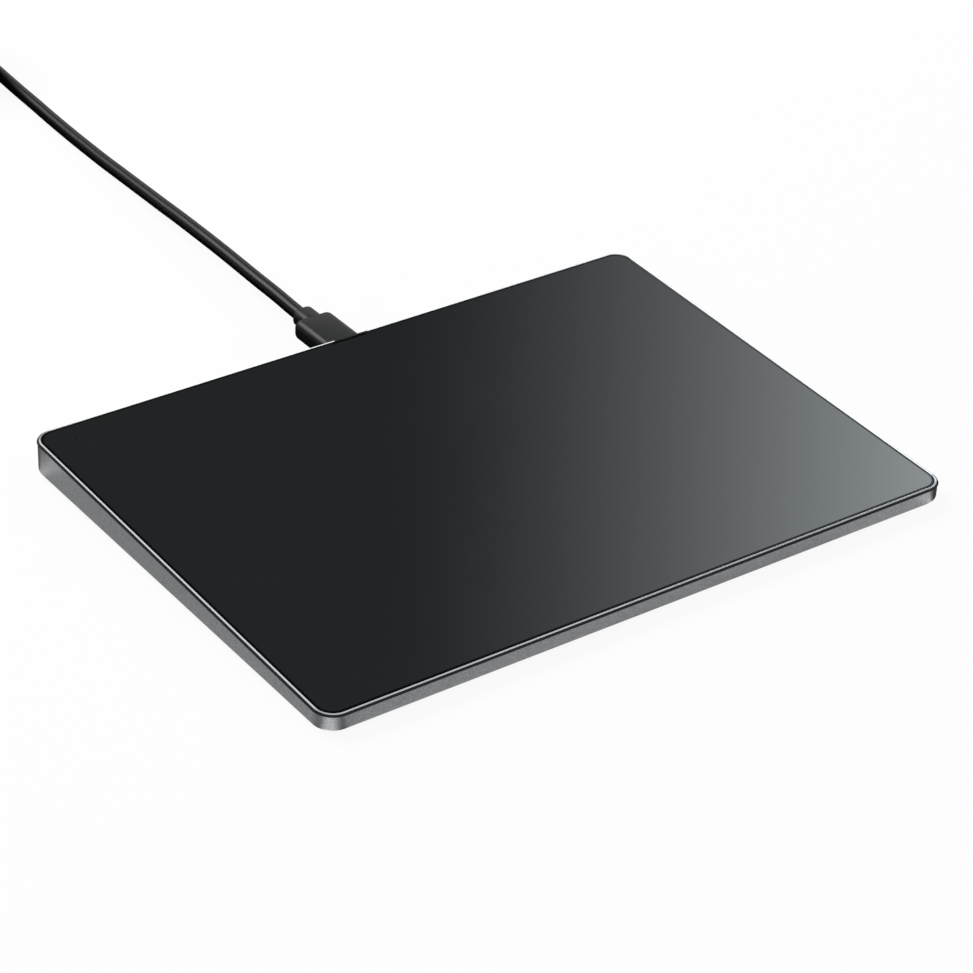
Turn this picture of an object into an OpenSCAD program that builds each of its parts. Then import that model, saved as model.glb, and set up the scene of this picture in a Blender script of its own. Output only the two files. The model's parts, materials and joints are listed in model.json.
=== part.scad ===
// Desk trackpad: a glass touch plate hinged at the rear of a wedge housing, with a click switch
// under its front edge and a plug-in cable at the rear.
// Millimetres. The desk is z = 0, x runs to the right and y to the rear, with the pad centred on both.

/* [Housing] */
// Width of the housing over its rim
body_w = 165; // [150:1:190]
// Depth of the housing over its rim
body_d = 120; // [112:1:140]
// Height of the rim above the desk at the front edge
front_h = 5.1; // [5:0.1:6]
// Height of the rim above the desk at the rear edge
rear_h = 9; // [8.9:0.1:11]
// Plan radius of the housing's corners at the rim
corner_r = 5; // [4.5:0.5:8]
// Thickness of the housing's wall below the glass
wall_t = 2.85; // [2.5:0.05:3.2]
// Width of the polished rim from its outer edge to the seam
rim_w = 1; // [0.8:0.05:1.2]
// Width of the rim's dark outer bevel
bevel_w = 0.5; // [0.3:0.05:0.7]
// Depth of the rim's dark outer bevel
bevel_h = 0.45; // [0.3:0.05:0.5]
// How far the wall stands back under the rim
rim_lip = 0.15; // [0.05:0.05:0.3]
// Depth of the ledge under the glass edge, below the top plane
ledge_d = 1.9; // [1.8:0.05:2]
// Break on the foot of the wall
foot_break = 0.7; // [0.4:0.1:0.9]

/* [Base] */
// Height of the wall's foot above the desk
foot_h = 0.8; // [0.6:0.1:1]
// Thickness of the bottom cover
cover_t = 1; // [0.9:0.05:1.1]
// Distance from the rim's outer edge to the bottom cover's edge
cover_inset = 1.7; // [1.6:0.05:1.9]
// Length of a rubber foot
foot_l = 32; // [20:1:40]
// Width of a rubber foot
foot_w = 8; // [6:0.5:10]
// Depth of the recess that holds a foot
foot_recess = 0.4; // [0.3:0.05:0.5]
// Distance from the housing's sides to a foot's middle
foot_side = 25; // [22:1:32]
// Distance from the housing's front and rear edges to a foot's middle
foot_edge = 12; // [10:0.5:16]
// Thickness of the steel chassis plate
chassis_t = 0.8; // [0.6:0.1:0.9]
// Thread diameter of the cover screws
cover_screw_d = 1.6; // [1.4:0.1:1.8]

/* [Touch plate] */
// Clearance between the touch plate's edge and the rim
seam_gap = 0.2; // [0.15:0.05:0.3]
// Width of the dark band round the glass
band_w = 0.3; // [0.2:0.05:0.4]
// Thickness of the glass
glass_t = 1.1; // [1:0.05:1.15]
// Thickness of the film that bonds the glass to the sensor board
film_t = 0.1; // [0.05:0.05:0.15]
// Thickness of the sensor board
sensor_t = 0.8; // [0.7:0.05:0.85]
// Thickness of the stiffener plate
stiff_t = 0.6; // [0.5:0.05:0.65]
// Diameter of the indicator lens
lens_d = 1.2; // [1:0.1:1.6]
// Distance from the housing's left edge to the indicator lens
lens_side = 8.1; // [7:0.1:12]
// Distance from the housing's rear edge to the indicator lens
lens_back = 6.1; // [6:0.1:9]

/* [Hinge] */
// Distance from the housing's rear edge to the hinge axis
hinge_back = 10; // [9.5:0.5:12]
// Distance from the housing's sides to each hinge
hinge_side = 32.5; // [28:0.5:40]
// Diameter of a hinge pin
pin_d = 1.5; // [1.2:0.1:1.6]
// Width of a hinge knuckle
knuckle_w = 6; // [5:0.5:8]
// Radial clearance of a pin in its knuckle
pin_run = 0.05; // [0.02:0.01:0.08]

/* [Click switch] */
// Distance from the housing's front edge to the click switch
switch_front = 14; // [12:0.5:18]
// Side of the square switch body
switch_w = 5.2; // [4.8:0.1:6]
// Diameter of the switch plunger
plunger_d = 2.2; // [1.6:0.1:2.4]
// Thread diameter of the striker screw
striker_d = 2; // [1.8:0.1:2.2]

/* [Socket and cable] */
// Distance of the socket's axis from the middle of the pad
usb_x = 1.3; // [0:0.1:4]
// Height of the socket's axis above the desk
usb_z = 5.2; // [5.1:0.05:5.3]
// Length of the plug's overmould
plug_l = 14.2; // [13:0.1:16]
// Width of the plug's overmould
plug_w = 10.5; // [9.5:0.1:11.5]
// Thickness of the plug's overmould
plug_h = 5.3; // [4.8:0.1:5.6]
// Diameter of the cable
cord_d = 3.5; // [3.2:0.1:3.6]

/* [Hidden] */
$fn = 48;

// Overshoot that lets a cut pass clean through a face
cut = 1;
// Clearance of pressed, screwed and bonded pieces
snug = 0.02;

// The top plane of the glass: it rises to the rear
slope = (rear_h - front_h) / body_d;
tilt = atan(slope);
mid_h = (front_h + rear_h) / 2;
slope_d = body_d / cos(tilt);
function world_y(y, w) = y * cos(tilt) - w * sin(tilt);
function world_z(y, w) = mid_h + y * sin(tilt) + w * cos(tilt);

// Insets from the rim's outer edge
rim_h = bevel_h + 2 * rim_lip;
land_drop = 0.08;
opening_r = corner_r - rim_w - rim_lip;
band_inset = rim_w + seam_gap;
glass_inset = band_inset + band_w;
cavity_inset = rim_lip + wall_t;
sensor_inset = cavity_inset + 1;
cavity_r = 2;
cavity_w = body_w - 2 * cavity_inset;
cavity_d = body_d - 2 * cavity_inset;

// Levels of the base
cover_top = foot_h + cover_t;
cover_gap = 0.1;
chassis_top = cover_top + chassis_t;
chassis_w = cavity_w - 15;
chassis_front = -body_d / 2 + 24;
chassis_rear = body_d / 2 - 5;
chassis_r = 3;

// Screw lugs in the corners and at the middle of the sides
lug_r = 2;
lug_inset = 1.5;
lug_x = cavity_w / 2 - lug_inset;
lug_y = cavity_d / 2 - lug_inset;
lug_places = [for (x = [-lug_x, lug_x], y = [-lug_y, 0, lug_y]) [x, y]];
lug_clear = 0.55;
function lug_top(y) = world_z(y, -plate_t) - lug_clear;
head_r = 1.5;
head_h = 0.5;
head_sink = 0.1;

// Levels of the touch plate, below the top plane
plate_t = glass_t + film_t + sensor_t;
stiff_bottom = plate_t + stiff_t;
band_drop = 0.05;
stiff_w = cavity_w - 19;
stiff_front = -slope_d / 2 + 8;
stiff_rear = slope_d / 2 - 6;
stiff_r = 3;
window_gap = 1;

// Stakes of the bottom cover that hold the chassis plate
stake_r = 1.5;
stake_head_r = 2.2;
stake_head_h = 0.5;
stake_places = [
    for (x = [-1, 1], y = [chassis_front + 6, chassis_rear - 25]) [x * (chassis_w / 2 - 6), y]
];

// Hinge: knuckles on the touch plate, brackets and pins on the base
hinge_x = body_w / 2 - hinge_side;
leaf_t = 0.5;
barrel_r = 1.4;
hinge_l = slope_d / 2 - hinge_back;
hinge_w = -(stiff_bottom + barrel_r + 0.2);
hinge_y = world_y(hinge_l, hinge_w);
hinge_z = world_z(hinge_l, hinge_w);
leaf_d = 6;
ear_t = 1;
ear_r = 1.3;
ear_gap = 0.3;
ear_x = knuckle_w / 2 + ear_gap;
bracket_t = 0.6;
bracket_d = 8;
bracket_w = 2 * ear_x + 2 * ear_t + 12;
rivet_r = 1;
rivet_head_r = 1.8;
rivet_head_h = 0.5;
rivet_x = bracket_w / 2 - 3;
pin_head_r = pin_d / 2 + 0.25;
pin_head_h = 0.5;
pin_tail = 0.3;

// Hold-down tabs of the chassis and the hooks of the stiffener that they stop
hold_x = hinge_x - 10;
hold_y = -8;
hold_w = 6;
tab_t = 0.6;
tab_reach = 3.6;
hook_clear = 0.25;
hook_t = 0.45;
hook_gap = 0.06;
hook_z = chassis_top + hook_clear;
tab_z = hook_z + hook_t + hook_gap;

// Click switch, in a window of the stiffener
switch_l = -slope_d / 2 + switch_front;
switch_h = 0.8;
switch_floor = 0.3;
dome_r = 2;
dome_h = 0.3;
dome_t = 0.06;
flange_r = plunger_d / 2 + 0.5;
flange_t = 0.13;
plunger_out = 0.3;
plunger_run = 0.05;
plunger_bottom = plate_t + switch_h + plunger_out;
click_gap = 0.03;
striker_y = world_y(switch_l, -plunger_bottom);
striker_top = world_z(switch_l, -plunger_bottom) - plunger_d / 2 * sin(tilt) - click_gap;
insert_wall = 0.8;
insert_r = striker_d / 2 + insert_wall;
insert_web = 0.2;
insert_top = cover_top + 0.3;
boss_r = insert_r + 1;

// Socket, controller board and the parts on it
socket_in_w = 8.34;
socket_in_h = 2.56;
socket_t = 0.3;
socket_mouth = body_d / 2 - 0.7;
socket_l = 7.1;
socket_root = 1.2;
socket_hole_gap = 0.1;
tongue_w = 6.4;
tongue_t = 0.7;
tongue_l = 5.2;
pcb_t = 0.8;
pcb_w = 40;
pcb_d = 20;
pcb_top = usb_z - socket_in_h / 2 - socket_t;
pcb_rear = body_d / 2 - cavity_inset - 0.5;
pcb_screw_x = pcb_w / 2 - 3.5;
pcb_screw_y = [pcb_rear - pcb_d + 3, pcb_rear - 3];
pcb_places = [for (x = [-pcb_screw_x, pcb_screw_x], y = pcb_screw_y) [usb_x + x, y]];
pcb_boss_r = 2;
pcb_hole_gap = 0.4;
pcb_screw_r = 0.7;
notch_w = 13;
notch_d = body_d / 2 - sensor_inset - (socket_mouth - socket_l) + window_gap;
chip_w = 8;
chip_h = 1;
chip_y = pcb_rear - 13.5;
flex_x = usb_x - 10;
flex_w = 6;
flex_t = 0.15;
flex_socket_w = 8;
flex_socket_d = 3;
flex_socket_h = 1;
flex_lower_y = pcb_rear - 12;
flex_upper_l = flex_lower_y - 14;
flex_lower_z = pcb_top + 0.4;
flex_upper_z = world_z(flex_upper_l, -plate_t - 0.9);
touch_chip_w = 7;
touch_chip_h = 0.9;
touch_chip_place = [22, 4];
lens_x = -body_w / 2 + lens_side;
lens_l = slope_d / 2 - lens_back;
led_size = [1.6, 0.8, 0.6];

// Plug at the pad
plug_in_w = 8.25;
plug_in_h = 2.4;
plug_in_t = 0.3;
plug_in_l = 6.5;
plug_slot_w = 6.8;
plug_slot_h = 1;
plug_front = body_d / 2 + 0.5;
plug_end = plug_front + plug_l;
plug_round = 2;
plug_shoulder = 2;
collar_w = 5.6;
collar_h = 4.7;
collar_r = 2.2;
collar_l = 3.8;
// The collar lies level with the top of the overmould
collar_up = (plug_h - collar_h) / 2;

// Tie round the coil: its strap, and its room round the cable
tie_turn = 315;
tie_t = 0.6;
tie_w = 5;
tie_gap = 0.3;
tie_r = 2;

// Route of the cable's lead, from the collar straight back, down to the desk and to its coil
desk_z = cord_d / 2 + 0.1;
coil_z = cord_d / 2 + tie_gap + tie_t;
lead_y = plug_end + collar_l;
lead_z = usb_z + 0.1;
lead_route = [
    [usb_x, lead_y, lead_z], [usb_x, lead_y + 1, lead_z], [usb_x + 0.1, lead_y + 5, lead_z], [1.6, lead_y + 12, 5.4],
    [1.7, 98, 5.4], [1.9, 106, 5.4],
    [2.1, 114, 5.4], [2.3, 122, 5.3], [2.5, 130, 5.1], [2.75, 138, 4.8], [3, 146, 4.4], [3.3, 154, 4],
    [3.6, 162, 3.6], [3.9, 170, 3.2], [4.2, 178, 2.8], [4.6, 186, 2.45], [5, 194, 2.15], [5.4, 202, desk_z + 0.1],
    [5.8, 210, desk_z], [6.2, 218, desk_z], [6.5, 226, desk_z], [6.8, 234, desk_z + 0.1], [7, 241, desk_z + 0.3],
    [7, 248, coil_z - 0.2], [7, 252, coil_z], [7, 254, coil_z]
];
lead_sides = 8;

// Coil of the spare length: it spirals in and out by turns, in four layers
coil_centre = [-15, 257, coil_z];
coil_outer = 22;
coil_layers = 4;
coil_layer_turns = 2.25;
coil_gap = 0.25;
coil_stub = 3;
coil_rings = 24;
coil_sides = 6;
coil_pitch = cord_d + coil_gap;
coil_turns = coil_layers * coil_layer_turns;
coil_climb = 0.5;
function climb(u) = min(max(u, 0), 1);
function spiral_in(t) =
    let (k = floor(t / coil_layer_turns), s = t - k * coil_layer_turns)
    k % 2 == 0 ? s : coil_layer_turns - s;
function coil_level(t) =
    [for (k = [1 : coil_layers - 1]) climb((t - k * coil_layer_turns) / coil_climb + 0.5)]
    * [for (k = [1 : coil_layers - 1]) 1];
function coil_point(t) =
    let (r = coil_outer - coil_pitch * spiral_in(t), a = 360 * t)
    coil_centre + [r * cos(a), r * sin(a), coil_pitch * coil_level(t)];
coil_loops = [for (i = [0 : coil_turns * coil_rings]) coil_point(i / coil_rings)];
coil_start = coil_loops[0];
coil_end = coil_loops[len(coil_loops) - 1];
coil_route = concat([coil_start - [0, coil_stub, 0]], coil_loops, [coil_end + [0, coil_stub, 0]]);
coil_self_gap = min([
    for (i = [0 : len(coil_loops) - 1]) for (j = [i + coil_rings / 2 : len(coil_loops) - 1])
        norm(coil_loops[i] - coil_loops[j])
]) - cord_d;
echo(coil_self_gap = coil_self_gap);

// Route of the cable's tail, from the top of the coil down to the far plug beside it
tail_route = [
    coil_end + [0, coil_stub, 0], coil_end + [0, 5, 0], [6.5, 268, 13], [4.5, 275, 11.3], [1, 281, 8.9],
    [-4, 285.5, 6.7], [-10, 288, 5], [-15, 289, 4.3], [-18, 289, 4.2], [-20, 289, 4.2]
];
tail_end = tail_route[len(tail_route) - 1];

// Inner size of the tie
tie_in = coil_outer - coil_pitch * coil_layer_turns - cord_d / 2 - tie_gap;
tie_out = coil_outer + cord_d / 2 + tie_gap;
tie_low = coil_centre[2] - cord_d / 2 - tie_gap;
tie_high = coil_centre[2] + (coil_layers - 1) * coil_pitch + cord_d / 2 + tie_gap;

// Far plug
far_w = 15.6;
far_h = 8;
far_l = 24;
far_round = 2;
far_shoulder = 3;
far_collar_d = 5;
far_collar_l = 4;
far_shell_w = 12;
far_shell_h = 4.5;
far_shell_t = 0.3;
far_shell_l = 12;
far_tongue_t = 1.9;
far_tongue_l = 10.5;

anodised = [0.47, 0.48, 0.49];
steel = [0.72, 0.73, 0.74];
rubber_black = [0.05, 0.05, 0.05];
plastic_black = [0.1, 0.1, 0.11];
board_green = [0.05, 0.25, 0.15];
brass = [0.8, 0.65, 0.3];

// Rounded rectangle in plan
module rounded_rect(w, d, r) {
    square([w - 2 * r, d], center = true);
    square([w, d - 2 * r], center = true);
    for (x = [-1, 1], y = [-1, 1])
        translate([x * (w / 2 - r), y * (d / 2 - r)])
            circle(r);
}

// Slot outline with round ends
module stadium(w, h) {
    square([w - h, h], center = true);
    for (x = [-1, 1])
        translate([x * (w - h) / 2, 0])
            circle(h / 2);
}

// Plate with rounded plan corners
module plate(w, d, r, h) {
    linear_extrude(h)
        rounded_rect(w, d, r);
}

// Outline of the rim drawn in by an inset, in the plane of the glass or of the desk
module rim_plate(inset, depth, h) {
    plate(body_w - 2 * inset, depth - 2 * inset, corner_r - inset, h);
}

// Flat ring between two insets of the rim's outline
module rim_ring(outer, inner, h) {
    difference() {
        rim_plate(outer, slope_d, h);
        translate([0, 0, -cut])
            rim_plate(inner, slope_d, h + 2 * cut);
    }
}

// Frame of the touch plate: z = 0 is its top plane
module tilted() {
    translate([0, 0, mid_h])
        rotate([tilt, 0, 0])
            children();
}

// Prism along the rear axis of the socket, from y0 to the rear
module along_socket(y0, l) {
    translate([usb_x, y0, usb_z])
        rotate([-90, 0, 0])
            linear_extrude(l)
                children();
}

// Profile carried round a rounded rectangle: its x is the offset from the outline
module swept_round(w, d, r) {
    for (turn = [0 : 3]) {
        along = turn % 2 == 0 ? d : w;
        across = turn % 2 == 0 ? w : d;
        rotate([0, 0, 90 * turn]) {
            translate([across / 2, along / 2 - r, 0])
                rotate([90, 0, 0])
                    linear_extrude(along - 2 * r)
                        children();
            translate([across / 2 - r, along / 2 - r, 0])
                rotate_extrude(angle = 90)
                    translate([r, 0])
                        children();
        }
    }
}

// Round bar swept along a list of points, as one closed skin
function unit(v) = v / norm(v);
function tangent(path, i) = unit(path[min(i + 1, len(path) - 1)] - path[max(i - 1, 0)]);
function ring(path, i, r, n) =
    let (t = tangent(path, i), s = unit(cross(t, [0, 0, 1])), u = cross(s, t))
    [for (k = [0 : n - 1]) path[i] + r * (cos(360 * k / n) * s + sin(360 * k / n) * u)];
module tube(path, d, n) {
    last = (len(path) - 1) * n;
    polyhedron(
        points = [for (i = [0 : len(path) - 1]) each ring(path, i, d / 2, n)],
        faces = concat(
            [for (i = [0 : len(path) - 2], k = [0 : n - 1])
                [i * n + k, i * n + (k + 1) % n, (i + 1) * n + (k + 1) % n]],
            [for (i = [0 : len(path) - 2], k = [0 : n - 1])
                [i * n + k, (i + 1) * n + (k + 1) % n, (i + 1) * n + k]],
            [for (k = [1 : n - 2]) [0, k + 1, k]],
            [for (k = [1 : n - 2]) [last, last + k, last + k + 1]]
        )
    );
}

// Rim in profile: a bright land that falls a little, a dark bevel and a small return to the wall
module rim_profile() {
    polygon([
        [-rim_w - cut, -rim_h], [bevel_h - rim_h, -rim_h], [0, -bevel_h], [-bevel_w, -land_drop], [-rim_w, 0],
        [-rim_w - cut, 0]
    ]);
}

// What the break on the wall's foot takes away, in profile
module foot_profile() {
    polygon([[-foot_break - cut, -cut], [cut, -cut], [cut, foot_break + cut]]);
}

module housing_frame() {
    wall_w = body_w - 2 * rim_lip;
    wall_d = body_d - 2 * rim_lip;
    color(anodised) {
        difference() {
            union() {
                difference() {
                    translate([0, 0, foot_h])
                        plate(wall_w, wall_d, corner_r, rear_h);
                    tilted()
                        translate([0, 0, rear_h - bevel_h])
                            cube([2 * body_w, 2 * body_d, 2 * rear_h], center = true);
                    translate([0, 0, foot_h])
                        swept_round(wall_w, wall_d, corner_r)
                            foot_profile();
                }
                tilted()
                    swept_round(body_w, slope_d, corner_r)
                        rim_profile();
            }
            tilted()
                translate([0, 0, -ledge_d])
                    plate(body_w - 2 * rim_w, slope_d - 2 * rim_w, opening_r, ledge_d + cut);
            translate([0, 0, cover_top])
                plate(cavity_w, cavity_d, cavity_r, rear_h);
            translate([0, 0, foot_h - cut])
                rim_plate(cover_inset - cover_gap, body_d, cover_t + cut);
            along_socket(body_d / 2 - cavity_inset - cut, cavity_inset + 2 * cut)
                stadium(
                    socket_in_w + 2 * (socket_t + socket_hole_gap),
                    socket_in_h + 2 * (socket_t + socket_hole_gap)
                );
        }
        for (p = lug_places)
            difference() {
                translate([p[0], p[1], cover_top])
                    cylinder(r = lug_r, h = lug_top(p[1]) - cover_top);
                translate([p[0], p[1], cover_top - cut])
                    cylinder(r = cover_screw_d / 2 + snug, h = rear_h);
            }
    }
}

module bottom_cover() {
    color(plastic_black) {
        difference() {
            union() {
                translate([0, 0, foot_h])
                    rim_plate(cover_inset, body_d, cover_t);
                translate([0, striker_y, foot_h])
                    cylinder(r = boss_r, h = insert_top - foot_h);
                for (p = pcb_places)
                    translate([p[0], p[1], foot_h])
                        cylinder(r = pcb_boss_r, h = pcb_top - pcb_t - foot_h);
            }
            for (x = [-1, 1], y = [-1, 1])
                foot_place(x, y)
                    translate([0, 0, foot_h - cut])
                        plate(foot_l + 2 * cover_gap, foot_w + 2 * cover_gap, foot_w / 2, foot_recess + cut);
            for (p = lug_places) {
                translate([p[0], p[1], foot_h - cut])
                    cylinder(r = head_r + cover_gap, h = head_h + head_sink + cut);
                translate([p[0], p[1], foot_h])
                    cylinder(r = cover_screw_d / 2 + cover_gap, h = cover_t + cut);
            }
            translate([0, striker_y, foot_h + insert_web])
                cylinder(r = insert_r + snug, h = cover_t + boss_r);
            translate([0, striker_y, foot_h - cut])
                cylinder(r = striker_d / 2 - 0.2, h = cover_t + cut);
            for (p = pcb_places)
                translate([p[0], p[1], foot_h + insert_web])
                    cylinder(r = pcb_screw_r + snug, h = rear_h);
        }
        for (p = stake_places)
            translate([p[0], p[1], cover_top]) {
                cylinder(r = stake_r, h = chassis_t);
                translate([0, 0, chassis_t])
                    cylinder(r = stake_head_r, h = stake_head_h);
            }
    }
}

// Panhead screw seen from its head's bearing face: the shank points up
module screw(shank_r, shank_l, r, h) {
    difference() {
        union() {
            cylinder(r = shank_r, h = shank_l);
            translate([0, 0, -h])
                cylinder(r = r, h = h);
        }
        for (turn = [0, 90])
            rotate([0, 0, turn])
                translate([0, 0, -h])
                    cube([1.3 * r, r / 4, h], center = true);
    }
}

module cover_screws() {
    color(steel)
        for (p = lug_places)
            translate([p[0], p[1], foot_h + head_h + head_sink])
                screw(cover_screw_d / 2, lug_top(p[1]) - head_sink - foot_h - head_h - head_sink, head_r, head_h);
}

// Moves a foot to its corner
module foot_place(x, y) {
    translate([x * (body_w / 2 - foot_side), y * (body_d / 2 - foot_edge), 0])
        children();
}

module foot(x, y) {
    color(rubber_black)
        foot_place(x, y)
            plate(foot_l, foot_w, foot_w / 2 - cover_gap, foot_h + foot_recess);
}

module chassis_plate() {
    depth = chassis_rear - chassis_front;
    color(steel) {
        difference() {
            translate([0, (chassis_rear + chassis_front) / 2, cover_top])
                plate(chassis_w, depth, chassis_r, chassis_t);
            for (p = stake_places)
                translate([p[0], p[1], cover_top - cut])
                    cylinder(r = stake_r + snug, h = chassis_t + 2 * cut);
            for (p = pcb_places)
                translate([p[0], p[1], cover_top - cut])
                    cylinder(r = pcb_boss_r + pcb_hole_gap, h = chassis_t + 2 * cut);
            for (side = [-1, 1], x = [-rivet_x, rivet_x])
                translate([side * hinge_x + x, hinge_y, cover_top - cut])
                    cylinder(r = rivet_r + snug, h = chassis_t + 2 * cut);
        }
        for (x = [-hold_x, hold_x])
            translate([x - hold_w / 2, hold_y, 0]) {
                translate([0, tab_reach - tab_t, chassis_top])
                    cube([hold_w, tab_t, tab_z + hook_t - chassis_top]);
                translate([0, 0, tab_z])
                    cube([hold_w, tab_reach, hook_t]);
            }
    }
}

module foam_seal() {
    foam_t = 0.3;
    color(rubber_black)
        tilted()
            translate([0, 0, -ledge_d])
                rim_ring(rim_w + cover_gap, cavity_inset - 2 * cover_gap, foam_t);
}

module hinge_bracket(side) {
    base_z = chassis_top;
    color(steel)
        translate([side * hinge_x, hinge_y, 0])
            difference() {
                union() {
                    translate([-bracket_w / 2, -bracket_d / 2, base_z])
                        cube([bracket_w, bracket_d, bracket_t]);
                    for (x = [-1, 1])
                        translate([x * (ear_x + ear_t / 2) - ear_t / 2, 0, 0]) {
                            translate([0, -ear_r, base_z])
                                cube([ear_t, 2 * ear_r, hinge_z - base_z]);
                            translate([0, 0, hinge_z])
                                rotate([0, 90, 0])
                                    cylinder(r = ear_r, h = ear_t);
                        }
                }
                translate([-ear_x, -barrel_r - window_gap, base_z - cut])
                    cube([2 * ear_x, 2 * (barrel_r + window_gap), bracket_t + 2 * cut]);
                translate([-bracket_w / 2, 0, hinge_z])
                    rotate([0, 90, 0])
                        cylinder(r = pin_d / 2 + snug, h = bracket_w);
                for (x = [-rivet_x, rivet_x])
                    translate([x, 0, base_z - cut])
                        cylinder(r = rivet_r + snug, h = bracket_t + 2 * cut);
            }
}

module hinge_pin(side) {
    pin_l = 2 * (ear_x + ear_t) + pin_tail;
    color(steel)
        translate([side * hinge_x - ear_x - ear_t, hinge_y, hinge_z])
            rotate([0, 90, 0]) {
                cylinder(d = pin_d, h = pin_l);
                translate([0, 0, -pin_head_h])
                    cylinder(r = pin_head_r, h = pin_head_h);
            }
}

module hinge_rivets() {
    color(steel)
        for (side = [-1, 1], x = [-rivet_x, rivet_x])
            translate([side * hinge_x + x, hinge_y, cover_top]) {
                cylinder(r = rivet_r, h = chassis_t + bracket_t);
                translate([0, 0, chassis_t + bracket_t])
                    cylinder(r = rivet_head_r, h = rivet_head_h);
            }
}

module controller_board() {
    color(board_green)
        difference() {
            translate([usb_x, pcb_rear - pcb_d / 2, pcb_top - pcb_t])
                plate(pcb_w, pcb_d, 1, pcb_t);
            for (p = pcb_places)
                translate([p[0], p[1], pcb_top - pcb_t - cut])
                    cylinder(r = pcb_screw_r + cover_gap, h = pcb_t + 2 * cut);
        }
}

// Chip package with a pin-one dimple
module chip(w, h) {
    difference() {
        translate([0, 0, h / 2])
            cube([w, w, h], center = true);
        translate([-w / 2 + 1, -w / 2 + 1, h - 0.1])
            cylinder(r = 0.4, h = cut);
    }
}

module controller_chip() {
    color(plastic_black)
        translate([usb_x + 6, chip_y, pcb_top])
            chip(chip_w, chip_h);
}

module board_screws() {
    shank_l = pcb_top - foot_h - insert_web - head_sink;
    color(steel)
        for (p = pcb_places)
            translate([p[0], p[1], pcb_top])
                rotate([180, 0, 0])
                    screw(pcb_screw_r, shank_l, 1.3, head_h);
}

// Ribbon socket with the ribbon's slot in its open side
module flex_socket() {
    translate([-flex_socket_w / 2, -flex_socket_d / 2, 0])
        cube([flex_socket_w, flex_socket_d, flex_socket_h]);
}

module flex_socket_lower() {
    color([0.85, 0.84, 0.78])
        translate([flex_x, flex_lower_y, pcb_top])
            flex_socket();
}

module flex_socket_upper() {
    color([0.85, 0.84, 0.78])
        tilted()
            translate([flex_x, flex_upper_l, -plate_t - flex_socket_h])
                flex_socket();
}

module flex_cable() {
    y_low = flex_lower_y - flex_socket_d / 2;
    y_high = world_y(flex_upper_l + flex_socket_d / 2, -plate_t - 0.9);
    knee = (y_low - y_high) / 3;
    color([0.75, 0.5, 0.15])
        translate([flex_x - flex_w / 2, 0, 0])
            rotate([90, 0, 90])
                linear_extrude(flex_w)
                    polygon([
                        [y_low, flex_lower_z], [y_low - knee, flex_lower_z],
                        [y_high + knee, flex_upper_z], [y_high, flex_upper_z],
                        [y_high, flex_upper_z + flex_t], [y_high + knee, flex_upper_z + flex_t],
                        [y_low - knee, flex_lower_z + flex_t], [y_low, flex_lower_z + flex_t]
                    ]);
}

module usb_socket_shell() {
    color(steel)
        along_socket(socket_mouth - socket_l, socket_l)
            difference() {
                stadium(socket_in_w + 2 * socket_t, socket_in_h + 2 * socket_t);
                stadium(socket_in_w, socket_in_h);
            }
}

module usb_socket_tongue() {
    color(plastic_black) {
        along_socket(socket_mouth - socket_l, socket_root)
            stadium(socket_in_w - 2 * snug, socket_in_h - 2 * snug);
        along_socket(socket_mouth - socket_l + socket_root, tongue_l)
            square([tongue_w, tongue_t], center = true);
    }
}

module striker_insert() {
    color(brass)
        translate([0, striker_y, foot_h + insert_web])
            difference() {
                cylinder(r = insert_r, h = insert_top - foot_h - insert_web);
                translate([0, 0, -cut])
                    cylinder(r = striker_d / 2 + snug, h = rear_h);
            }
}

module striker_screw() {
    bottom = foot_h + 2 * insert_web;
    slot_h = 0.3;
    color(steel)
        translate([0, striker_y, bottom])
            difference() {
                cylinder(d = striker_d, h = striker_top - bottom);
                translate([0, 0, slot_h / 2 - cut])
                    cube([2 * striker_d, slot_h, 2 * cut], center = true);
            }
}

module glass_plate() {
    color([0.04, 0.04, 0.045])
        tilted()
            difference() {
                translate([0, 0, -glass_t])
                    rim_plate(glass_inset, slope_d, glass_t);
                translate([lens_x, lens_l, -glass_t - cut])
                    cylinder(d = lens_d + 2 * snug, h = glass_t + 2 * cut);
            }
}

module edge_band() {
    color(rubber_black)
        tilted()
            translate([0, 0, -glass_t])
                rim_ring(band_inset, glass_inset - snug, glass_t - band_drop);
}

module indicator_lens() {
    color(plastic_black)
        tilted()
            translate([lens_x, lens_l, -glass_t])
                cylinder(d = lens_d, h = glass_t);
}

module bond_film() {
    film_inset = sensor_inset + 1;
    color([0.2, 0.2, 0.22])
        tilted()
            translate([0, 0, -glass_t - film_t])
                difference() {
                    plate(body_w - 2 * film_inset, slope_d - 2 * film_inset, cavity_r, film_t);
                    translate([lens_x, lens_l, -cut])
                        cylinder(d = lens_d + 2 * cover_gap, h = film_t + 2 * cut);
                }
}

module sensor_board() {
    color(board_green)
        tilted()
            translate([0, 0, -plate_t])
                difference() {
                    plate(body_w - 2 * sensor_inset, slope_d - 2 * sensor_inset, cavity_r, sensor_t);
                    translate([lens_x, lens_l, -cut])
                        cylinder(d = lens_d, h = sensor_t + 2 * cut);
                    socket_notch(sensor_t);
                }
}

// Room for the socket in the rear edge of the sensor board and the stiffener
module socket_notch(h) {
    translate([usb_x - notch_w / 2, slope_d / 2 - sensor_inset - notch_d, -cut])
        cube([notch_w, notch_d + body_d, h + 2 * cut]);
}

module touch_chip() {
    color(plastic_black)
        tilted()
            translate([touch_chip_place[0], touch_chip_place[1], -plate_t])
                rotate([180, 0, 0])
                    chip(touch_chip_w, touch_chip_h);
}

module indicator_led() {
    color([0.9, 0.9, 0.85])
        tilted()
            translate([lens_x, lens_l, -plate_t - led_size[2] / 2])
                cube(led_size, center = true);
}

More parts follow.
